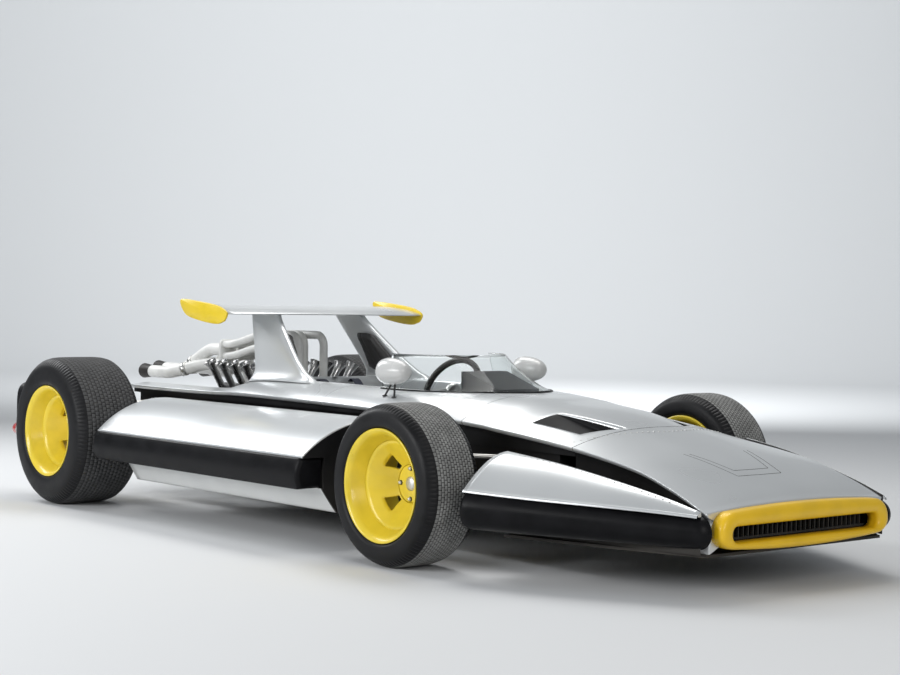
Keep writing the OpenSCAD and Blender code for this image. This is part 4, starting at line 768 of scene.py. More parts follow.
band_x = between(band_start - FRONT_ROUND, RUBBER_END + RUBBER_ROUND, steps(50)[:, None])
band_body = xyz(band_x, band_y, band_z)
back_turn, front_turn = quarter(12)[1:, None], quarter(8)[::-1, None]
band_back = band_end(RUBBER_END + RUBBER_ROUND * (1 - np.sin(back_turn)), back_turn, END_TAPER)
band_front = band_end(band_start - FRONT_ROUND * (1 - np.sin(front_turn)), front_turn, FRONT_TAPER)
front_middle = np.array([band_front[0, 0, 0], RUBBER_IN, RUBBER_MID]) + 0 * band_front[:1]
band_grids = [np.concatenate([front_middle, band_front]), band_body,
              np.concatenate([band_body[-1:], band_back]), fan(band_back[-1], band_back[-1].mean(0))]
side_rubber = shape("side_rubber_bands", both_sides(*band_grids))
finished(side_rubber, "chassis", "rubber_pad", rubber_black, stands_for=("side_rubber",))

SKIRT_IN, SKIRT_LOW_Y, SKIRT_HIGH_Y, SKIRT_CORE_Z, SKIRT_SHORT = 0.70, 0.790, 0.846, 0.2, 0.125
SKIRT_REAR = POD_REAR + SKIRT_SHORT
skirt_y = np.concatenate([[POD_INNER, SKIRT_IN], between(SKIRT_LOW_Y, SKIRT_HIGH_Y, steps(12))])
skirt_z = np.concatenate([[FLOOR_TOP] * 2, between(FLOOR_TOP, RUBBER_LOW, steps(12))])
skirt = xyz(between(arch_x(skirt_z, -1), SKIRT_REAR, steps(40)[:, None]), skirt_y, skirt_z)
skirt_end = fan(skirt[-1], (SKIRT_REAR, SKIRT_IN, SKIRT_CORE_Z))
skirt_white = surface("skirt_white", (0.74, 0.75, 0.74), 0.34, metal=0.1, spread=0.05, coat=0.2, dust=0.25,
                      dust_top=0.22)
skirts = shape("side_skirt_panels", both_sides(skirt, skirt_end))
finished(skirts, "chassis", "body_silver", skirt_white, stands_for=("side_skirts",))

# Windscreen: one sheet of clear acrylic bent round the cockpit's front, with a polished upper edge and a black
# rubber strip where its foot is screwed to the shell. Its index of refraction is kept low, so that the soft
# boxes don't veil the cockpit.
SCREEN_BEND, SCREEN_HEIGHT, SCREEN_T, SCREEN_SEAT, SCREEN_BOW = 0.1225, 0.742, 0.005, 0.0003, 0.45
FOOT_REACH, FOOT_HALF, TOP_REACH, TOP_HALF = 0.585, 0.327, 0.2688, 0.267
SCREEN_IOR = 1.10
STRIP_END, STRIP_UP, STRIP_OUT, STRIP_R = 0.004, 0.012, 0.003, 0.0042


def screen_point(around, up, out):
    """The screen's face: a half ellipse at the foot and a smaller one at the top, joined by a rising curve."""
    angle = np.pi * (around - 0.5)
    x_foot, y_foot = SCREEN_BEND + (FOOT_REACH + out) * np.cos(angle), (FOOT_HALF + out) * np.sin(angle)
    x_top, y_top = SCREEN_BEND + (TOP_REACH + out) * np.cos(angle), (TOP_HALF + out) * np.sin(angle)
    z_foot = body_z(x_foot, y_foot) + SCREEN_SEAT
    return xyz(between(x_foot, x_top, up), between(y_foot, y_top, up),
               between(z_foot, SCREEN_HEIGHT, (1 - SCREEN_BOW) * up + SCREEN_BOW * up ** 2))


around, up = np.meshgrid(steps(81), steps(17), indexing="ij")
outside, inside = screen_point(around, up, 0.0), screen_point(around, up, -SCREEN_T)
edges = [np.stack([outside[0], inside[0]]), np.stack([outside[-1], inside[-1]]),
         np.stack([outside[:, 0], inside[:, 0]]), np.stack([outside[:, -1], inside[:, -1]])]
acrylic = surface("clear_acrylic", (0.94, 0.965, 0.96), 0.05, spread=0.02, gloss=0.03, fine=300, bump=0.004)
set_inputs(shader_of(acrylic), {"Transmission Weight": 1.0, "IOR": SCREEN_IOR})
screen = shape("windscreen_sheet", [outside, inside] + edges)
finished(screen, "chassis", "clear_screen", acrylic, stands_for=("windscreen",))
foot_line = screen_point(np.linspace(STRIP_END, 1 - STRIP_END, 90), STRIP_UP, STRIP_OUT)
foot_strip = shape("windscreen_foot_strip", [tube(foot_line, STRIP_R, 8)])
finished(foot_strip, "chassis", "clear_screen", rubber_black)

# Dashboard and steering wheel: a satin black board with three dials in bright bezels, and a small leather
# bound wheel with three alloy spokes on the end of its column.
DIAL_X, DIAL_Z, DIAL_R, DIAL_PITCH = 0.3795, 0.622, 0.033, 0.072
DIAL_FACE = [[0.004, 0.0], [0.004, DIAL_R * 0.93]]
DIAL_BEZEL = [[0.004, DIAL_R * 0.93], [0.009, DIAL_R * 0.95], [0.011, DIAL_R], [0.009, DIAL_R * 1.06],
              [0.0, DIAL_R * 1.08]]
DIAL_MARKS, MARK_HALF, MARK_EDGE, MARK_FROM, MARK_FULL = 24, 0.004, 0.005, 0.74, 0.76
DIAL_PALE = (0.8, 0.8, 0.76)
WHEEL_PLACE, COLUMN = np.array([0.1933, 0.0, 0.585]), np.array([0.924956, 0.0, -0.380075])
WHEEL_R, WHEEL_GRIP, SHAFT_R, HUB_EDGE = 0.142, 0.013, 0.010, 0.028
WRAPS, WRAP_DEPTH = 60, 0.035
SPOKE_HALF, SPOKE_WAIST, SPOKE_T, SPOKE_ROUND = 0.013, 0.004, 0.0028, 0.4
WHEEL_HUB = [[-0.016, 0.0], [-0.016, 0.012], [-0.012, 0.016], [-0.012, 0.030], [-0.006, 0.035], [0.012, 0.035],
             [0.014, 0.030], [0.016, SHAFT_R], [0.135, SHAFT_R], [0.135, 0.0]]


def lathe(profile, centre, axis, count=48):
    """Surface of revolution: profile columns are the distance along the axis and the radius."""
    axis = unit(np.asarray(axis, float))
    first = unit(np.cross(axis, (0, 0, 1) if abs(axis[2]) < STEEP else (0, 1, 0)))
    second = np.cross(axis, first)
    turn = circle(count + 1)[:, None]
    spoke = np.cos(turn) * first + np.sin(turn) * second
    profile = np.asarray(profile, float)[:, None]
    return np.asarray(centre) + profile[..., :1] * axis + profile[..., 1:] * spoke


def dial_material():
    """Black dial with a ring of pale marks, masked by the lathe's own UV: radius along u, angle along v."""
    material = surface("dial_face", (0.018, 0.018, 0.020), 0.35, spread=0.2, bump=0.02)
    tree, shader = material.node_tree, shader_of(material)
    place, split = tree.nodes.new("ShaderNodeUVMap"), tree.nodes.new("ShaderNodeSeparateXYZ")
    tree.links.new(place.outputs["UV"], split.inputs[0])
    wave = tree.nodes.new("ShaderNodeMath")
    wave.operation = "PINGPONG"
    wave.inputs[1].default_value = 0.5 / DIAL_MARKS
    tree.links.new(split.outputs["Y"], wave.inputs[0])
    tick = mapped(tree, wave.outputs[0], MARK_HALF, MARK_EDGE, 1, 0)
    ring = mapped(tree, split.outputs["X"], MARK_FROM, MARK_FULL, 0, 1)
    base = shader.inputs["Base Color"].links[0].from_socket
    tree.links.new(mixed(tree, multiplied(tree, tick, ring), base, DIAL_PALE), shader.inputs["Base Color"])
    return material


def squarish(wave, power):
    """A wave with its sign kept and its size raised to a power; powers below one turn round loops squarish."""
    return np.sign(wave) * np.abs(wave) ** power


def spoke_plate(out):
    """Flat spoke from the hub to the grip: a rounded bar that is waisted in the middle."""
    side = np.cross(COLUMN, out)
    share, loop = steps(14)[:, None, None], circle(17)[:, None]
    half = SPOKE_HALF - SPOKE_WAIST * np.sin(np.pi * share)
    return (WHEEL_PLACE + out * between(HUB_EDGE, WHEEL_R, share) + side * half * np.cos(loop)
            + COLUMN * SPOKE_T * squarish(np.sin(loop), SPOKE_ROUND))


dash_black = surface("dash_black", (0.024, 0.024, 0.026), 0.55, spread=0.25, fine=600, bump=0.25)
dress(dash_black, "dashboard")
dial_places = [(DIAL_X, y, DIAL_Z) for y in (-DIAL_PITCH, 0.0, DIAL_PITCH)]
dials = shape("dash_dial_faces", [lathe(DIAL_FACE, place, (-1, 0, 0)) for place in dial_places])
finished(dials, "chassis", "dash_black", dial_material())
bezels = shape("dash_dial_bezels", [lathe(DIAL_BEZEL, place, (-1, 0, 0)) for place in dial_places])
finished(bezels, "chassis", "dash_black", bare_alloy)
wheel_side = np.array([0.0, 1.0, 0.0])
wheel_up = np.cross(wheel_side, -COLUMN)
turn, grip = circle(145)[:, None], circle(17)[:, None]
wrap = 1 + WRAP_DEPTH * np.cos(WRAPS * turn[..., None]) * (0.5 + 0.5 * np.cos(grip))
spin = (np.cos(turn) * wheel_side + np.sin(turn) * wheel_up)[:, None]
grip_grid = WHEEL_PLACE + WHEEL_R * spin + WHEEL_GRIP * wrap * (np.cos(grip) * spin + np.sin(grip) * COLUMN)
leather = surface("wheel_leather", (0.020, 0.017, 0.015), 0.5, spread=0.3, fine=500, bump=0.3)
wheel_rim = shape("steering_wheel_grip", [grip_grid])
finished(wheel_rim, "steering_wheel", "dash_black", leather, stands_for=("steering_wheel",))
wheel_hub = lathe(WHEEL_HUB, WHEEL_PLACE, COLUMN)
spoke_plates = [spoke_plate(out) for out in (wheel_side, -wheel_side, -wheel_up)]
spokes = shape("steering_wheel_spokes", [wheel_hub] + spoke_plates)
finished(spokes, "steering_wheel", "steel", bare_alloy)

# Seat and head pads: black leathercloth over foam, sewn in channels. The seat lies in the tub and the pads are
# glued to the inner faces of the two fins. The harness is flat nylon webbing with a steel buckle.
SEAT_HALF, SEAT_INSET, SEAT_DEEP, CHANNELS = 0.247, 0.012, 0.020, 7
SEAT_PATH = np.array([[0.088, 0.226], [-0.05, 0.214], [-0.2072, 0.207], [-0.285, 0.224], [-0.34, 0.275],
                      [-0.5072, 0.452], [-0.58, 0.53], [-0.606, 0.555]])
SEAT_WIDE, SEAT_EDGE = 0.45, 0.6
END_SHARE, END_LEAST, END_WIDE = 0.06, 0.02, 0.93
CLOTH_STEPS, PRESSURE, CLOTH_QUALITY = 20, 4.0, 5
STITCH_HALF = 0.005
SEAT_SWELL, SEAT_VOXEL, SEAT_STITCH, SEAT_PUSH = 0.010, 0.0075, 0.006, np.array([0.5, 0, 0.85])


def along(points, count):
    """Evenly spaced points on a smooth curve through a table of points."""
    length = run_length(points)
    place = np.linspace(0, length[-1], count)
    table = np.column_stack([length, points])
    return np.stack([smooth(table, place, k + 1) for k in range(points.shape[1])], -1)


def pad_loft(path, up, half, thick, columns):
    """Closed pad along a path: at each station a flat rounded loop, wider than thick,
    that narrows at the ends."""
    loop = circle(columns + 1)
    ends = steps(len(path))
    taper = np.maximum(np.minimum(1, np.minimum(ends, 1 - ends) / END_SHARE) ** 0.5, END_LEAST)[:, None]
    y = half * between(END_WIDE, 1, taper) * squarish(np.cos(loop), SEAT_WIDE)
    rise = thick * taper * squarish(np.sin(loop), SEAT_EDGE)
    return capped(path[:, None] + xyz(0, y, 0) + rise[..., None] * up[:, None])


def stuffed(piece, cap, voxel):
    """Swells a closed pad: voxel remesh, some steps of cloth under pressure, each point held to cap metres."""
    bpy.context.view_layer.objects.active = piece
    remesh = piece.modifiers.new("cut", "REMESH")
    remesh.mode, remesh.voxel_size = "VOXEL", voxel
    bpy.ops.object.modifier_apply(modifier="cut")
    count = len(piece.data.vertices)
    before = np.empty(count * 3, np.float32)
    piece.data.vertices.foreach_get("co", before)
    cloth = piece.modifiers.new("swell", "CLOTH")
    cloth.settings.use_pressure = True
    cloth.settings.uniform_pressure_force = PRESSURE
    cloth.settings.effector_weights.gravity = 0.0
    cloth.settings.quality = CLOTH_QUALITY
    cloth.point_cache.frame_start, cloth.point_cache.frame_end = 1, CLOTH_STEPS
    for step in range(1, CLOTH_STEPS + 1):
        bpy.context.scene.frame_set(step)
    after = np.empty(count * 3, np.float32)
    swollen = piece.evaluated_get(bpy.context.evaluated_depsgraph_get())
    swollen.data.vertices.foreach_get("co", after)
    piece.modifiers.remove(cloth)
    move = (after - before).reshape(-1, 3)
    far = np.linalg.norm(move, axis=1, keepdims=True)
    move *= np.minimum(1, cap / np.maximum(far, 1e-9))
    before = before + move.ravel()
    bpy.context.scene.frame_set(1)
    piece.data.vertices.foreach_set("co", before)
    piece.data.update()
    piece.data.shade_smooth()
    return before.reshape(-1, 3).copy()


def channel_sew(piece, points, measure, pitch, depth, push):
    """Presses sewn channels into a pad: the depth follows a narrow dip at each multiple of the pitch."""
    phase = np.abs(measure / pitch - np.round(measure / pitch)) * pitch
    dip = depth * np.exp(-(phase / STITCH_HALF) ** 2)
    piece.data.vertices.foreach_set("co", (points - push * dip[:, None]).astype(np.float32).ravel())
    piece.data.update()
    finer = piece.modifiers.new("finer", "SUBSURF")
    finer.levels = finer.render_levels = 1


seat_line = along(SEAT_PATH, 60)
seat_run = heading(seat_line)
seat_path, seat_up = xyz(seat_line[:, 0], 0, seat_line[:, 1]), xyz(seat_run[:, 1], 0, -seat_run[:, 0])
seat_piece = shape("seat_pad", [pad_loft(seat_path, seat_up, SEAT_HALF - SEAT_INSET, SEAT_DEEP, 64)])
seat_cloth = surface("seat_leathercloth", (0.022, 0.021, 0.021), 0.52, spread=0.3, gloss=0.1, broad=10,
                     fine=520, bump=0.3)
seat_points = stuffed(seat_piece, SEAT_SWELL, SEAT_VOXEL)
channel_sew(seat_piece, seat_points, seat_points[:, 1], 2 * SEAT_HALF / CHANNELS, SEAT_STITCH, SEAT_PUSH)
finished(seat_piece, "chassis", "seat_trim", seat_cloth, stands_for=("seat",))

FIN_LEAN, FIN_Y, FIN_Z, FIN_T, PAD_T = np.radians(17.4), 0.325, 0.605, 0.040, 0.080
PAD_EDGE = np.array([  # height over the deck, back edge, front edge
    [0.014, -0.618, -0.452], [0.050, -0.737, -0.495], [0.095, -0.745, -0.532], [0.168, -0.762, -0.607],
    [0.205, -0.774, -0.642], [0.218, -0.770, -0.680]])
PAD_ROUND, PAD_LEAST, PAD_INSET, PAD_THIN, PAD_GLUE = 0.12, 0.02, 0.008, 0.006, 0.001
PAD_SWELL, PAD_VOXEL, PAD_PITCH, PAD_STITCH, PAD_SLANT = 0.005, 0.006, 0.055, 0.004, 0.5


def fin_place(x, up, out):
    """A point on the leaning fin: up along its slope from the deck, out from its middle plane."""
    y = FIN_Y - up * np.sin(FIN_LEAN) + out * np.cos(FIN_LEAN)
    return xyz(x, y, FIN_Z + up * np.cos(FIN_LEAN) + out * np.sin(FIN_LEAN))


def fin_pad():
    """Pad on the inner face of the left fin: rounded loops stacked up the slope
    between the pad's two edges."""
    height = np.linspace(PAD_EDGE[0, 0], PAD_EDGE[-1, 0], 30)
    back, front = (np.interp(height, PAD_EDGE[:, 0], PAD_EDGE[:, k])[:, None] for k in (1, 2))
    loop, ends = circle(49), steps(30)
    taper = np.minimum(1, np.minimum(ends, 1 - ends) / PAD_ROUND + PAD_LEAST)[:, None] ** 0.5
    x = (back + front) / 2 + ((front - back) / 2 - PAD_INSET) * squarish(np.cos(loop), 0.5)
    deep = (PAD_T - FIN_T) / 2 - PAD_THIN
    out = -FIN_T / 2 - PAD_GLUE - deep - deep * taper * squarish(np.sin(loop), 0.5)
    return capped(fin_place(x, height[:, None] / np.cos(FIN_LEAN), out))


pads = shape("fin_head_pads", both_sides(fin_pad()))
pad_points = stuffed(pads, PAD_SWELL, PAD_VOXEL)
channel_sew(pads, pad_points, pad_points[:, 0] + PAD_SLANT * pad_points[:, 2], PAD_PITCH, PAD_STITCH,
            np.sign(pad_points[:, 1:2]) * np.array([[0, -1.0, 0]]))
finished(pads, "chassis", "seat_trim", seat_cloth, stands_for=("head_pads",))

STRAP_HALF, STRAP_T, STRAP_EDGE, STRAP_TURN = 0.0235, 0.0018, 0.4, 0.75
SHOULDER = np.array([[-0.63, 0.095, 0.585], [-0.605, 0.093, 0.600], [-0.565, 0.090, 0.575],
                     [-0.50, 0.085, 0.505], [-0.40, 0.070, 0.400], [-0.33, 0.045, 0.315],
                     [-0.30, 0.030, 0.275]])
LAP = np.array([[-0.36, 0.245, 0.235], [-0.34, 0.20, 0.262], [-0.31, 0.12, 0.272], [-0.285, 0.045, 0.268]])
BUCKLE = [[0.0, 0.0], [0.0, 0.034], [0.004, 0.037], [0.012, 0.037], [0.017, 0.033], [0.018, 0.020],
          [0.021, 0.018], [0.022, 0.0]]
BUCKLE_PLACE, BUCKLE_AXIS = (-0.292, 0.0, 0.262), (0.35, 0, 0.94)


def strap(points):
    """Flat webbing along a curve: a thin rounded strip whose width lies across the run, or along the car where
    the run itself goes across."""
    path = along(points, 50)
    run = heading(path)
    sideways = np.where(np.abs(run[:, 1:2]) < STRAP_TURN, [[0, 1.0, 0]], [[1.0, 0, 0]])
    wide = unit(sideways - run * (sideways * run).sum(1, keepdims=True))
    loop = circle(17)[:, None]
    grid = (path[:, None] + STRAP_HALF * np.cos(loop) * wide[:, None]
            + STRAP_T * squarish(np.sin(loop), STRAP_EDGE) * np.cross(run, wide)[:, None])
    return capped(grid, path)


webbing = surface("harness_webbing", (0.022, 0.026, 0.045), 0.75, spread=0.25, fine=900, bump=0.4)
straps = shape("harness_straps", [strap(line) for kind in (SHOULDER, LAP) for line in both_sides(kind)])
finished(straps, "chassis", "seat_trim", webbing)
buckle = shape("harness_buckle", [lathe(BUCKLE, BUCKLE_PLACE, BUCKLE_AXIS)])
finished(buckle, "chassis", "steel", bare_alloy)

# Fins and wing: two hollow silver fins grow out of the shell beside the head pads, lean in and carry a full
# width alloy wing over the engine. A yellow end plate with rounded edges is screwed to each tip.
FIN_EDGE = np.array([  # height, back edge, front edge
    [0.590, -0.868, -0.285], [0.603, -0.846, -0.3075], [0.612, -0.8185, -0.345], [0.624, -0.808, -0.3675],
    [0.640, -0.8015, -0.4105], [0.655, -0.8005, -0.439], [0.697, -0.8185, -0.5055], [0.769, -0.8610, -0.5975],
    [0.873, -0.9365, -0.7205], [0.905, -0.951, -0.747]])
FIN_LOW, FIN_HIGH, FIN_SINK, FIN_SEAT = 0.603, 0.893, 0.004, 0.0006
FIN_NOSE, FIN_SIDE, FLARE, FLARE_REACH = 0.55, 0.5, 0.9, 0.05
WING_X, WING_CHORD, WING_Z, WING_RISE, WING_T, WING_HALF = -0.6875, 0.375, 0.890, 0.036, 0.038, 0.545
WING_DEEP, WING_TOP, WING_UNDER, CHORD_POINTS, CHORD_POWER = WING_T * 1.32 * 0.98, 0.75, 0.45, 30, 1.6
PLATE = np.array([[-1, 0.056], [-0.86, 0.061], [-0.3, 0.042], [-0.09, 0.025], [0.012, 0.002], [-0.03, -0.028],
                  [-0.09, -0.038], [-0.21, -0.046], [-0.5, -0.037], [-0.83, -0.014], [-0.96, 0.020]])
PLATE_MIDDLE = np.array([-0.45 * WING_CHORD, 0.004])  # of the plate's outline, seen from its side
PLATE_ROWS = np.array([  # distance out of the wing's tip, distance in from the plate's edge
    [0, 1.0], [0, 0.004], [0.0012, 0.0012], [0.004, 0], [0.008, 0], [0.0108, 0.0012], [0.012, 0.004],
    [0.012, 1.0]])


def wing_face(chord, side):
    """Wing's upper (1) or lower (-1) face at a share of the chord behind the leading edge:
    a round nosed airfoil."""
    fullness = WING_TOP if side > 0 else WING_UNDER
    deep = WING_DEEP * (np.sqrt(chord) - 0.42 * chord - 0.58 * chord ** 3) * fullness
    return WING_X - WING_CHORD * chord, WING_Z + WING_RISE * chord + side * deep


def fin_loft():
    """Left fin: rounded blade sections stacked from the shell's skin to the wing's
    underside; the foot flares."""
    share, loop = steps(48)[:, None], circle(65)
    back, front = (smooth(FIN_EDGE, between(FIN_LOW, FIN_HIGH, share), column) for column in (1, 2))
    x = (back + front) / 2 + (front - back) / 2 * squarish(np.cos(loop), FIN_NOSE)
    out = FIN_T / 2 * (1 + FLARE * np.exp(-share / FLARE_REACH)) * squarish(np.sin(loop), FIN_SIDE)
    top = wing_face(np.clip((WING_X - x) / WING_CHORD, 0.005, 1), -1)[1] + FIN_SEAT
    z = between(body_z(x, FIN_Y) - FIN_SINK, top, share)
    return xyz(x, FIN_Y - (z - FIN_Z) * np.tan(FIN_LEAN) + out / np.cos(FIN_LEAN), z)


def closed_curve(points, count):
    """Smooth closed curve through points: cubic pieces whose slopes follow each point's two neighbours."""
    t = np.linspace(0, len(points), count)
    i, u = t.astype(int) % len(points), (t % 1)[:, None]
    before, here, after, later = (points[(i + k) % len(points)] for k in (-1, 0, 1, 2))
    return here + 0.5 * u * (after - before + u * (2 * before - 5 * here + 4 * after - later
                                                   + u * (3 * (here - after) + later - before)))


fins = shape("wing_fins", both_sides(fin_loft()))
finished(fins, "chassis", "body_silver", silver, stands_for=("fins",))
chord = steps(CHORD_POINTS) ** CHORD_POWER
upper, lower = np.stack(wing_face(chord, 1), -1), np.stack(wing_face(chord, -1), -1)
wing_loop = np.concatenate([upper, lower[::-1][1:]])
wing_grid = xyz(wing_loop[:, 0], np.linspace(-WING_HALF, WING_HALF, 24)[:, None], wing_loop[:, 1])
wing_ends = [np.stack([wing_grid[k, :CHORD_POINTS], wing_grid[k, CHORD_POINTS - 1:][::-1]]) for k in (0, -1)]
wing = shape("rear_wing_skin", [wing_grid] + wing_ends)
finished(wing, "chassis", "body_silver", silver, stands_for=("wing",))
plate_yellow = surface("plate_yellow", (0.80, 0.58, 0.015), 0.36, spread=0.06, gloss=0.08, broad=10, fine=600,
                       bump=0.03, coat=0.25)
plate_edge = closed_curve(PLATE * np.array([WING_CHORD, 1]), 121)
to_middle = PLATE_MIDDLE - plate_edge
inset = np.minimum(PLATE_ROWS[:, 1:] / np.linalg.norm(to_middle, axis=1), 1)
plate_xz = plate_edge + to_middle * inset[..., None]
plate = xyz(WING_X + plate_xz[..., 0], WING_HALF + PLATE_ROWS[:, :1], WING_Z + plate_xz[..., 1])
end_plates = shape("wing_end_plates", both_sides(plate))
finished(end_plates, "chassis", "trim_yellow", plate_yellow, stands_for=("end_plates",))

# Mirrors: white teardrop shells of moulded plastic with the round glass facing back, each on two thin black
# stays that are screwed to the shell beside the screen.
MIRROR, MIRROR_R, MIRROR_LEN = np.array([0.2653, 0.372, 0.675]), 0.055, 0.150
MIRROR_RIM = np.array([[0.007, 0.80], [0.001, 0.82], [0.0, 0.86], [0.003, 0.90]]) * np.array([1, MIRROR_R])
MIRROR_GLASS = np.array([[0.007, 0.0], [0.0068, 0.4], [0.006, 0.81]]) * np.array([1, MIRROR_R])
SHELL_START, SHELL_TURN, SHELL_POINT, SHELL_BACK = 0.14, 0.05, 0.7, 0.4
STAY_R, STAY_SPREAD, STAY_OUT, STAY_LIFT, STAY_PINCH, STAY_HEAD = 0.0042, 0.03, 0.02, 0.001, 0.3, 0.8
STAY_FOOT, FOOT_SINK = [[0.0, 0.011], [0.003, 0.011], [0.005, 0.008], [0.005, 0.0]], np.array([0, 0, 0.002])
shell_turn = np.linspace(SHELL_TURN, np.pi / 2, 24)
shell_curve = np.stack([MIRROR_LEN * between(SHELL_START, 1, np.sin(shell_turn)),
                        MIRROR_R * np.cos(shell_turn) ** SHELL_POINT], -1)
mirror_grids, glass_grids, stay_grids = [], [], []
for side in (-1, 1):
    place = MIRROR * np.array([1, side, 1]) - np.array([SHELL_BACK * MIRROR_LEN, 0, 0])
    mirror_grids.append(lathe(np.concatenate([MIRROR_RIM, shell_curve]), place, (1, 0, 0)))
    glass_grids.append(lathe(MIRROR_GLASS, place, (1, 0, 0)))
    for offset in (-STAY_SPREAD, STAY_SPREAD):
        x, y = MIRROR[0] + offset, side * (MIRROR[1] + STAY_OUT)
        foot = np.array([x, y, body_z(x, y) + STAY_LIFT])
        head = np.array([MIRROR[0] + STAY_PINCH * offset, side * MIRROR[1], MIRROR[2] - STAY_HEAD * MIRROR_R])
        stay_grids.append(tube(between(foot, head, steps(8)[:, None]), STAY_R))
        stay_grids.append(lathe(STAY_FOOT, foot - FOOT_SINK, (0, 0, 1), 16))
mirror_white = surface("mirror_white", (0.62, 0.62, 0.61), 0.22, spread=0.04, fine=700, bump=0.02, coat=0.4)
mirror_glass = surface("mirror_glass", (0.85, 0.88, 0.90), 0.03, metal=1.0, spread=0.03,
                       gloss=0.02, bump=0.005)
finished(shape("mirror_shells", mirror_grids), "chassis", "body_silver", mirror_white, stands_for=("mirrors",))
finished(shape("mirror_glasses", glass_grids), "chassis", "body_silver", mirror_glass)
finished(shape("mirror_stays", stay_grids), "chassis", "body_silver", seam_dark)

# Engine: a twelve cylinder block with dark crackle cam covers, six spun intake trumpets on each bank and white
# ceramic coated exhausts that rise in the vee and run back over the gearbox to black tips.
BANK_Z, BANK_LEN, BANK_ANGLE, PITCH, BANK_W = 0.240, 0.300, np.radians(30), 0.096, 0.150
FIRST_CYLINDER = X_BULKHEAD - 0.022 - PITCH / 2
TRUMPET = [[0.0, 0.017], [0.10, 0.0165], [0.136, 0.0175], [0.158, 0.0215], [0.172, 0.027], [0.180, 0.0305],
           [0.1822, 0.0318], [0.1815, 0.0300], [0.177, 0.0265], [0.162, 0.0205], [0.14, 0.0155],
           [0.10, 0.0145], [0.01, 0.0145], [0.01, 0.0]]
COVER_NUT, COVER_TOP = [[0.0, 0.0065], [0.004, 0.0065], [0.006, 0.005], [0.006, 0.0]], BANK_LEN + 0.0318
NUT_ACROSS = 0.29 * BANK_W
engine_alloy = surface("engine_alloy", (0.34, 0.34, 0.33), 0.5, metal=0.75, spread=0.3, gloss=0.15, broad=12,
                       fine=420, bump=0.35)
cam_crackle = surface("cam_crackle", (0.035, 0.034, 0.034), 0.5, spread=0.3, fine=320, bump=0.6)
dress(engine_alloy, "engine_block", "gearbox")
dress(cam_crackle, "cam_covers")
trumpets, cover_nuts = [], []
for side in (-1, 1):
    lean = np.array([0, side * np.sin(BANK_ANGLE), np.cos(BANK_ANGLE)])
    cross = np.array([0, np.cos(BANK_ANGLE), -side * np.sin(BANK_ANGLE)])
    for k in range(6):
        foot = np.array([FIRST_CYLINDER - k * PITCH, 0, BANK_Z])
        trumpets.append(lathe(TRUMPET, foot + lean * BANK_LEN, lean, 32))
        for across_bank in (-NUT_ACROSS, NUT_ACROSS):
            seat = foot + np.array([PITCH / 2, 0, 0]) + lean * COVER_TOP + cross * across_bank
            cover_nuts.append(lathe(COVER_NUT, seat, lean, 6))
trumpet_alloy = surface("trumpet_alloy", (0.42, 0.42, 0.42), 0.24, metal=1.0, spread=0.15, gloss=0.08,
                        fine=800, bump=0.06)
finished(shape("intake_trumpets", trumpets), "chassis", "trumpet_metal", trumpet_alloy,
         stands_for=("intakes",))
finished(shape("cam_cover_nuts", cover_nuts), "chassis", "cam_dark", bare_alloy)

PIPE_R, TAIL_R, RUN_Z0, X_COLLECT, PIPE_BEND = 0.019, 0.030, 0.5376, -1.4275, 0.052
RUN_HEIGHTS, RUN_ACROSS = (0.182, 0.126, 0.070), (0.072, 0.030)
RUN_FALL, FALL_REACH = 0.060, 0.380
TAIL_PIPES = ((0.052, 0.095, DECK + 0.096, DECK - 0.012), (0.052, 0.175, DECK + 0.026, DECK - 0.026))
TAIL_EASE_FROM, TAIL_EASE = 0.2, 0.52
X_TAILS, X_TIPS = -1.4558, X_REAR - 0.400
PIPE_COLLAR = [[0.0, 0.027], [0.007, 0.027], [0.009, 0.0255], [0.009, PIPE_R - 0.001]]
TAIL_COLLAR = [[-0.012, TAIL_R + 0.004], [0.012, TAIL_R + 0.004], [0.014, TAIL_R], [-0.014, TAIL_R],
               [-0.012, TAIL_R + 0.004]]
MERGE = np.array([[0.0, 0.96], [-0.006, 1.0], [-0.016, 1.0], [-0.028, 0.86]])[:, :, None]
MERGE_Y, MERGE_Z, MERGE_HALF, MERGE_ROUND = 0.052, DECK + 0.066, (0.046, 0.082), 0.4
TIP = [[0.0, TAIL_R], [-0.03, TAIL_R + 0.002], [-0.074, TAIL_R + 0.007], [-0.078, TAIL_R + 0.006],
       [-0.077, TAIL_R + 0.004], [-0.06, TAIL_R - 0.002], [-0.018, TAIL_R - 0.002], [-0.018, 0.0]]


def eased(start, reach, place):
    """Rises from 0 to 1 on an S shaped cubic while place goes from start on by reach."""
    share = np.clip((place - start) / reach, 0, 1)
    return share ** 2 * (3 - 2 * share)


def run_z(x, height):
    """Height of an exhaust run at x: it comes down on an eased curve on its way to the collectors."""
    return DECK + height - RUN_FALL * eased(-X_COLLECT - FALL_REACH, FALL_REACH, -x)


def run_path(x, y, height):
    """Middle line of one exhaust: straight up from the head, a quarter bend, then back
    along the falling run."""
    z = run_z(x - PIPE_BEND, height)
    rise = np.linspace(RUN_Z0, z - PIPE_BEND, 10)[:-1]
    bend = quarter(14)
    run = np.linspace(x - PIPE_BEND, X_COLLECT, 14)[1:]
    bow = xyz(x - PIPE_BEND * (1 - np.cos(bend)), y, z - PIPE_BEND * (1 - np.sin(bend)))
    return np.concatenate([xyz(x, y, rise), bow, xyz(run, y, run_z(run, height))])


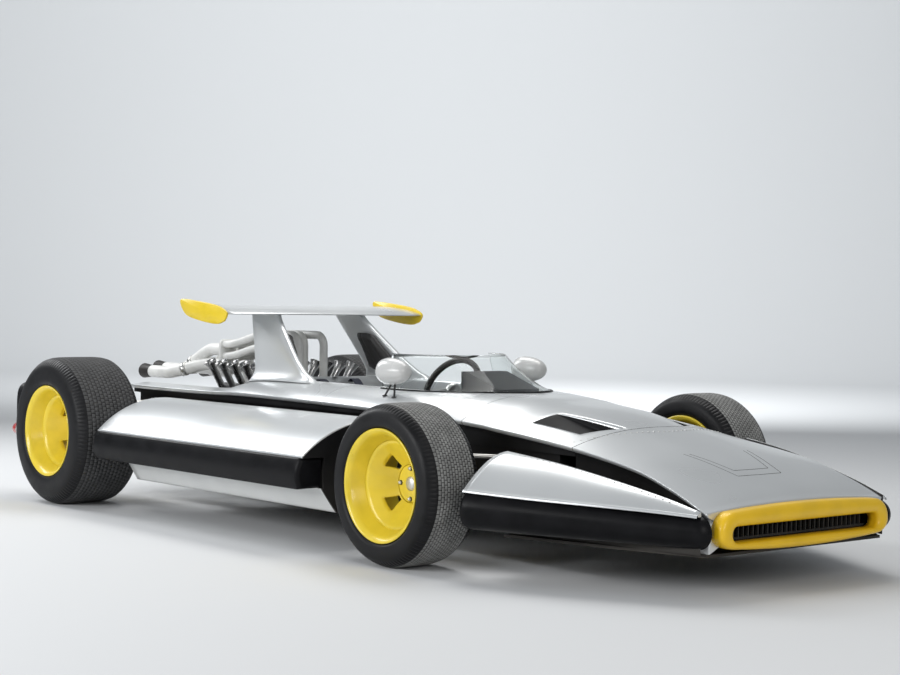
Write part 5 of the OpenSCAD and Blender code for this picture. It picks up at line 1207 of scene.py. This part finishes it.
white_pipes, collars = [], []
share = steps(40)
ease = eased(TAIL_EASE_FROM, TAIL_EASE, share)
for side in (-1, 1):
    for k in range(6):
        x, y = FIRST_CYLINDER - k * PITCH, side * RUN_ACROSS[k % 2]
        white_pipes.append(tube(run_path(x, y, RUN_HEIGHTS[k // 2]), PIPE_R, 20))
        collars.append(lathe(PIPE_COLLAR, (x, y, RUN_Z0), (0, 0, 1), 24))
    for y0, y1, z0, z1 in TAIL_PIPES:
        path = xyz(between(X_TAILS, X_TIPS, share), side * between(y0, y1, ease), between(z0, z1, ease))
        white_pipes.append(tube(path, TAIL_R, 28))
        collars.append(lathe(TAIL_COLLAR, path[20], path[21] - path[19], 28))
loop = circle(41)
merge_y = MERGE_Y + MERGE_HALF[0] * MERGE[:, 1] * squarish(np.cos(loop), MERGE_ROUND)
merge_z = MERGE_Z + MERGE_HALF[1] * MERGE[:, 1] * squarish(np.sin(loop), MERGE_ROUND)
merge = capped(xyz(X_COLLECT + MERGE[:, 0], merge_y, merge_z))
ceramic = surface("ceramic_white", (0.74, 0.74, 0.72), 0.40, spread=0.10, gloss=0.10, broad=16,
                  fine=420, bump=0.10)
exhausts = shape("exhaust_pipes", white_pipes + both_sides(merge))
finished(exhausts, "chassis", "exhaust_white", ceramic, stands_for=("headers", "exhausts"))
finished(shape("exhaust_collars", collars), "chassis", "steel", bare_alloy)
tips = [lathe(TIP, (X_TIPS, side * y1, z1), (1, 0, 0), 28) for side in (-1, 1) for _, y1, _, z1 in TAIL_PIPES]
burnt = surface("burnt_black", (0.022, 0.020, 0.019), 0.55, metal=0.4, spread=0.4, fine=500, bump=0.25)
finished(shape("exhaust_tips", tips), "chassis", "pipe_black", burnt, stands_for=("tail_pipes",))

# Tail: a black tube beam behind the gearbox carries two black foam rubber blocks behind the rear wheels, with
# a round red lamp in a bright bezel on each.
BLOCK_X, BLOCK_T, BLOCK_Y, BLOCK_Z, BLOCK_HALF = -2.0275, 0.090, 0.741, 0.395, (0.131, 0.145)
BLOCK_EDGE, BLOCK_ROUND = 0.014, 0.42
LAMP = np.array([-2.0275, 0.837, 0.310])
LENS = [[0.0003, 0.029], [0.044, 0.029], [0.052, 0.026], [0.057, 0.019], [0.0597, 0.009], [0.06, 0.0]]
BEZEL = [[0.0003, 0.031], [0.010, 0.031], [0.012, 0.0305], [0.012, 0.0288], [0.0003, 0.0288], [0.0003, 0.031]]
dress(tub_black, "rear_beam")
loop, bend = circle(65), quarter(8)
edge_x, edge_in = BLOCK_EDGE * (1 - np.sin(bend)), BLOCK_EDGE * (1 - np.cos(bend))
block_x = np.concatenate([edge_x[::-1], BLOCK_T - edge_x])[:, None]
block_in = np.concatenate([edge_in[::-1], edge_in])[:, None]
block_y = BLOCK_Y + (BLOCK_HALF[0] - block_in) * squarish(np.cos(loop), BLOCK_ROUND)
block_z = BLOCK_Z + (BLOCK_HALF[1] - block_in) * squarish(np.sin(loop), BLOCK_ROUND)
block = capped(xyz(BLOCK_X + block_x, block_y, block_z))
blocks = shape("tail_rubber_blocks", both_sides(block))
finished(blocks, "chassis", "rubber_pad", rubber_black, stands_for=("rear_rubber",))
lamp_red = surface("lamp_red", (0.42, 0.012, 0.010), 0.12, spread=0.12, gloss=0.05, fine=260,
                   bump=0.30, coat=0.5)
lamp_places = (LAMP * FLIP, LAMP)
lenses = shape("tail_lamp_lenses", [lathe(LENS, place, (-1, 0, 0)) for place in lamp_places])
finished(lenses, "chassis", "lamp_red", lamp_red, stands_for=("tail_lamps",))
lamp_bezels = shape("tail_lamp_bezels", [lathe(BEZEL, place, (-1, 0, 0)) for place in lamp_places])
finished(lamp_bezels, "chassis", "lamp_red", bare_alloy)

# Suspension, steering and axles: nickel plated steel tubes and machined uprights, bolted to the tub and the
# rear frame. All keep their CAD shape.
plated_steel = surface("plated_steel", (0.50, 0.49, 0.47), 0.33, metal=0.95, spread=0.22, gloss=0.12, broad=20,
                       fine=700, bump=0.10)
dress(plated_steel, "wishbones", "rear_suspension", "steering_rack", "knuckle_right", "knuckle_left",
      "driveshaft_right", "driveshaft_left")

# Wheels: cast rims in yellow paint with a deep dish, four spokes and four windows, plated nuts and a bright
# cap, and wide racing tyres with fine tread blocks. Front wheels turn with the knuckles, and all spin.
RIM_R, BEAD_SEAT_R, RIM_DROP, RIM_WALL, HUB_R = 0.207, 0.1905, 0.020, 0.008, 0.075
DISC_R, DISC_SETBACK, DISC_CURVE, DISC_T, DISC_POLE = 0.1665, 0.070, 1.08, 0.010, 0.0005
SPOKE_RIB, RIB_SHARP, RIB_FADE = 0.007, 8, 0.7
WINDOW_IN, WINDOW_OUT, WINDOW_HALF = 0.083, 0.123, np.radians(16)
RIM_ROWS, WINDOW_ROWS, HUB_ROWS, BESIDE_CELLS, WINDOW_CELLS = 4, 14, 8, 8, 10
TYRE_INSET, ZONE_INSET, CROWN_FALL, SHOULDER_FALL, SHOULDER_POWER = 0.006, 0.040, 0.0010, 0.052, 7
RIBS, BLOCKS, SHOULDER_ROWS, NOTCH, GROOVE_HALF, GROOVE_DEPTH = 13, 108, 5, 0.6, 0.0012, 0.0030
GROOVE_PAINTED_SHADE = (0.008, 0.008, 0.008)
FRONT_TYRE, REAR_TYRE = (0.594, 0.250), (0.674, 0.332)
WHEELS = {  # body: axle x, side, half track, tyre diameter and width, hub depth
    "front_right": (X_FRONT, -1, 0.797, *FRONT_TYRE, 0.157),
    "front_left": (X_FRONT, 1, 0.797, *FRONT_TYRE, 0.157),
    "rear_right": (X_REAR, -1, 0.812, *REAR_TYRE, 0.215),
    "rear_left": (X_REAR, 1, 0.812, *REAR_TYRE, 0.215)}
HUB_CAP = np.array([[0, 0.036], [0.004, 0.034], [0.006, 0.028], [0.012, 0.026], [0.016, 0.018], [0.017, 0.0]])
WHEEL_NUT = np.array([[0, 0.0135], [0.003, 0.0135], [0.003, 0.010], [0.012, 0.010], [0.0145, 0.0075],
                      [0.020, 0.0055], [0.0205, 0.0]])
# Each nut's washer and sides take slot 1, the tub's black: painted shade for the dark ring round the nut.
NUT_CIRCLE, NUT_PAINTED_SHADE_SLOTS = 0.056, np.array([1, 1, 1, 1, 0, 0])[:, None]
AXLE_END = np.array([[-0.010, 0.022], [-0.096, 0.022], [-0.096, 0.0]])


def rim_profile(width):
    """Closed section of the rim's barrel as distance out and radius."""
    b, f, s, d, t = width / 2, RIM_R, BEAD_SEAT_R, BEAD_SEAT_R - RIM_DROP, RIM_WALL
    return np.array([[b, f], [b - 0.006, f], [b - 0.014, s], [b - 0.040, s], [b - 0.060, d], [0.060 - b, d],
                     [0.040 - b, s], [0.014 - b, s], [0.006 - b, f], [-b, f], [-b, f - t], [0.018 - b, s - t],
                     [0.036 - b, s - t], [0.056 - b, d - t], [b - 0.056, d - t], [b - 0.036, s - t],
                     [b - 0.018, s - t], [b - 0.003, f - t - 0.001], [b, f - 0.004], [b, f]])


def rim_disc(width, hub_depth):
    """Dished disc as radius, distance out, angle and the mask of the cells that stay: the grid's columns
    follow the windows' slanted sides, so that the windows are cut along grid lines."""
    rings = ((DISC_R, WINDOW_OUT, RIM_ROWS), (WINDOW_OUT, WINDOW_IN, WINDOW_ROWS),
             (WINDOW_IN, HUB_R, RIM_ROWS))
    radius = np.concatenate([*(np.linspace(*ring, endpoint=False) for ring in rings),
                             np.linspace(HUB_R, DISC_POLE, HUB_ROWS)])[:, None]
    half = WINDOW_HALF * (0.5 + 0.5 * np.clip((radius - WINDOW_IN) / (WINDOW_OUT - WINDOW_IN), 0, 1))
    beside = (np.pi / 4 - half) * steps(BESIDE_CELLS + 1)
    window = half * np.linspace(-1, 1, WINDOW_CELLS + 1)
    sector = np.concatenate([beside[:, :-1] - np.pi / 4, window, half + beside[:, 1:-1]], 1)
    sectors = [np.pi / 4 + k * np.pi / 2 + sector for k in range(4)]
    angle = np.concatenate(sectors + [sectors[0][:, :1] + 2 * np.pi], 1)
    slope = np.clip((radius - HUB_R) / (DISC_R - HUB_R), 0, 1)
    out = width / 2 - hub_depth + (hub_depth - DISC_SETBACK) * slope ** DISC_CURVE
    rib = SPOKE_RIB * np.cos(2 * angle) ** RIB_SHARP * np.sin(np.pi * slope) ** RIB_FADE
    stay = np.ones((len(radius) - 1, angle.shape[1] - 1), bool)
    for k in range(4):
        first = BESIDE_CELLS + k * sector.shape[1]
        stay[RIM_ROWS:RIM_ROWS + WINDOW_ROWS, first:first + WINDOW_CELLS] = False
    return radius, out + rib, angle, stay


def tyre_grid(diameter, width):
    """Tyre as radius, distance out, angle, slots and a UV in metres round and across. A wall curve on each
    side runs from the bead to the shoulder; the slightly crowned tread between them is parted into ribs by
    V shaped grooves, and each rib is cut across into blocks that are staggered from rib to rib. The
    shoulders are notched."""
    r, h, b, e = diameter / 2, width / 2, width / 2 - TYRE_INSET, diameter / 2 - RIM_R
    wall = along(np.array([[BEAD_SEAT_R + 0.0003, b - 0.015], [RIM_R + 0.0005, b - 0.007],
                           [RIM_R + 0.010, h - 0.003], [RIM_R + 0.3 * e, h], [r - 0.36 * e, h - 0.004],
                           [r - 0.2 * e, h - 0.016], [r - 0.08 * e, h - 0.033],
                           [r - 0.058 * e, h - 0.038]]), 20)
    zone = h - ZONE_INSET
    rib, block = 2 * zone / RIBS, 2 * np.pi * r / BLOCKS
    edges = np.linspace(-zone, zone, RIBS + 1)
    across = np.append((edges[:-1, None] + np.array([0, GROOVE_HALF, rib - GROOVE_HALF])).ravel(), zone)
    groove = np.append(np.tile([1.0, 0, 0], RIBS), 0)
    groove[0] = 0
    odd = np.append(np.repeat(np.arange(RIBS), 3), RIBS - 1) % 2 == 1
    share = np.abs(across / zone)
    tread = (r - CROWN_FALL * share ** 2 - (SHOULDER_FALL * e - CROWN_FALL) * share ** SHOULDER_POWER
             - GROOVE_DEPTH * groove)
    profile = np.concatenate([wall * np.array([1, -1]), np.stack([tread, across], -1), wall[::-1]])
    profile = np.concatenate([profile, profile[:1]])
    first, last = len(wall), len(wall) + len(across) - 1
    near_cut = np.array([-1, 0, 1]) * GROOVE_HALF / block
    turns = (np.arange(BLOCKS)[:, None] + np.concatenate([near_cut, 0.5 + near_cut])).ravel()
    angle = np.append(turns, turns[0] + BLOCKS)[:, None] * 2 * np.pi / BLOCKS
    cut = np.tile(np.array([[0, 0], [1, 0], [0, 0], [0, 0], [0, 1], [0, 0]]), (BLOCKS, 1))
    cut = np.concatenate([cut, cut[:1]])
    sipe = np.zeros((len(angle), len(profile)))
    sipe[:, first:last + 1] = np.where(odd, cut[:, :1], cut[:, 1:]) * (1 - groove)
    sipe[:, first - SHOULDER_ROWS:first] = sipe[:, last + 1:last + 1 + SHOULDER_ROWS] = NOTCH * cut[:, :1]
    length = run_length(profile)
    v = np.concatenate([length[:first] - length[first], across + zone,
                        length[last + 1:] - length[last] + 2 * zone])
    columns = np.zeros((1, len(profile) - 1), np.int32)
    columns[0, first:last] = 1
    uv = np.stack(np.broadcast_arrays(angle * r, v), -1)
    return profile[:, 0] - GROOVE_DEPTH * sipe, profile[:, 1], angle, columns, uv


def tread_rubber(name, diameter, width, colour, rough):
    """Tread: rubber with painted shade in the cuts between the blocks, laid by the same pattern on the tyre's
    own UV.
    """
    material = surface(name, colour, rough, spread=0.20, gloss=0.06, broad=20, fine=520, bump=0.12, shine=0.25)
    tree, shader = material.node_tree, shader_of(material)
    place, bricks = tree.nodes.new("ShaderNodeUVMap"), tree.nodes.new("ShaderNodeTexBrick")
    place.uv_map = "UVMap"
    tree.links.new(place.outputs["UV"], bricks.inputs["Vector"])
    set_inputs(bricks, {"Scale": 1.0, "Mortar Size": GROOVE_HALF, "Mortar Smooth": 0.2,
                        "Brick Width": np.pi * diameter / BLOCKS,
                        "Row Height": (width - 2 * ZONE_INSET) / RIBS})
    shade = shader.inputs["Base Color"].links[0].from_socket
    # The brick pattern's mortar darkens the colour: painted shade in the grooves.
    tree.links.new(mixed(tree, bricks.outputs["Fac"], shade, GROOVE_PAINTED_SHADE), shader.inputs["Base Color"])
    return material


rim_yellow = surface("rim_yellow", (0.80, 0.61, 0.040), 0.34, spread=0.07, gloss=0.07, broad=14, fine=600,
                     bump=0.05, coat=0.3)
tyre_rubber = surface("tyre_rubber", (0.008, 0.008, 0.009), 0.46, spread=0.30, gloss=0.08, broad=18, fine=520,
                      bump=0.10, shine=0.22)
# The front tread gets a far lighter grey than the rear's charcoal: painted light on the tread that faces the
# lamps.
front_tread = tread_rubber("front_tread", *FRONT_TYRE, (0.27, 0.27, 0.262), 0.78)
rear_tread = tread_rubber("rear_tread", *REAR_TYRE, (0.075, 0.075, 0.076), 0.72)
for name, (x, side, half_track, diameter, width, hub_depth) in WHEELS.items():
    body, rim_width = "wheel_" + name, width - 2 * TYRE_INSET
    centre, outward = np.array([x, side * half_track, diameter / 2]), np.array([0, side, 0])
    radius, out, angle, stay = rim_disc(rim_width, hub_depth)
    disc_grid = centre + xyz(radius * np.cos(angle), side * out, radius * np.sin(angle))
    disc = shape("rim_disc_" + name, [disc_grid], keep=[stay])
    thick = disc.modifiers.new("cast_wall", "SOLIDIFY")
    thick.thickness, thick.offset = DISC_T, -1.0
    finished(disc, body, "trim_yellow", rim_yellow, stands_for=("rim_" + name,))
    barrel = shape("rim_barrel_" + name, [lathe(rim_profile(rim_width), centre, outward, 120)])
    finished(barrel, body, "trim_yellow", rim_yellow)
    face = centre + outward * (rim_width / 2 - hub_depth)
    spots = [face + NUT_CIRCLE * np.array([np.cos(turn), 0, np.sin(turn)]) for turn in circle(5)[:-1]]
    hub_grids = [lathe(HUB_CAP, face, outward, 40), *(lathe(WHEEL_NUT, spot, outward, 6) for spot in spots),
                 lathe(AXLE_END, face, outward, 40)]
    # The nuts' washers and sides get the tub's black, painted shade round each nut; their tops stay bare
    # alloy.
    hub = shape("hub_nuts_" + name, hub_grids, slots=[0] + 4 * [NUT_PAINTED_SHADE_SLOTS] + [0])
    finished(hub, body, "steel", bare_alloy, tub_black)
    radius, out, angle, columns, uv = tyre_grid(diameter, width)
    tyre_points = centre + xyz(radius * np.cos(angle), side * out, radius * np.sin(angle))
    tyre = shape("tyre_tread_" + name, [tyre_points], slots=[columns], uv=[uv])
    finished(tyre, body, "tyre", tyre_rubber, front_tread if x > 0 else rear_tread,
             stands_for=("tyre_" + name,))
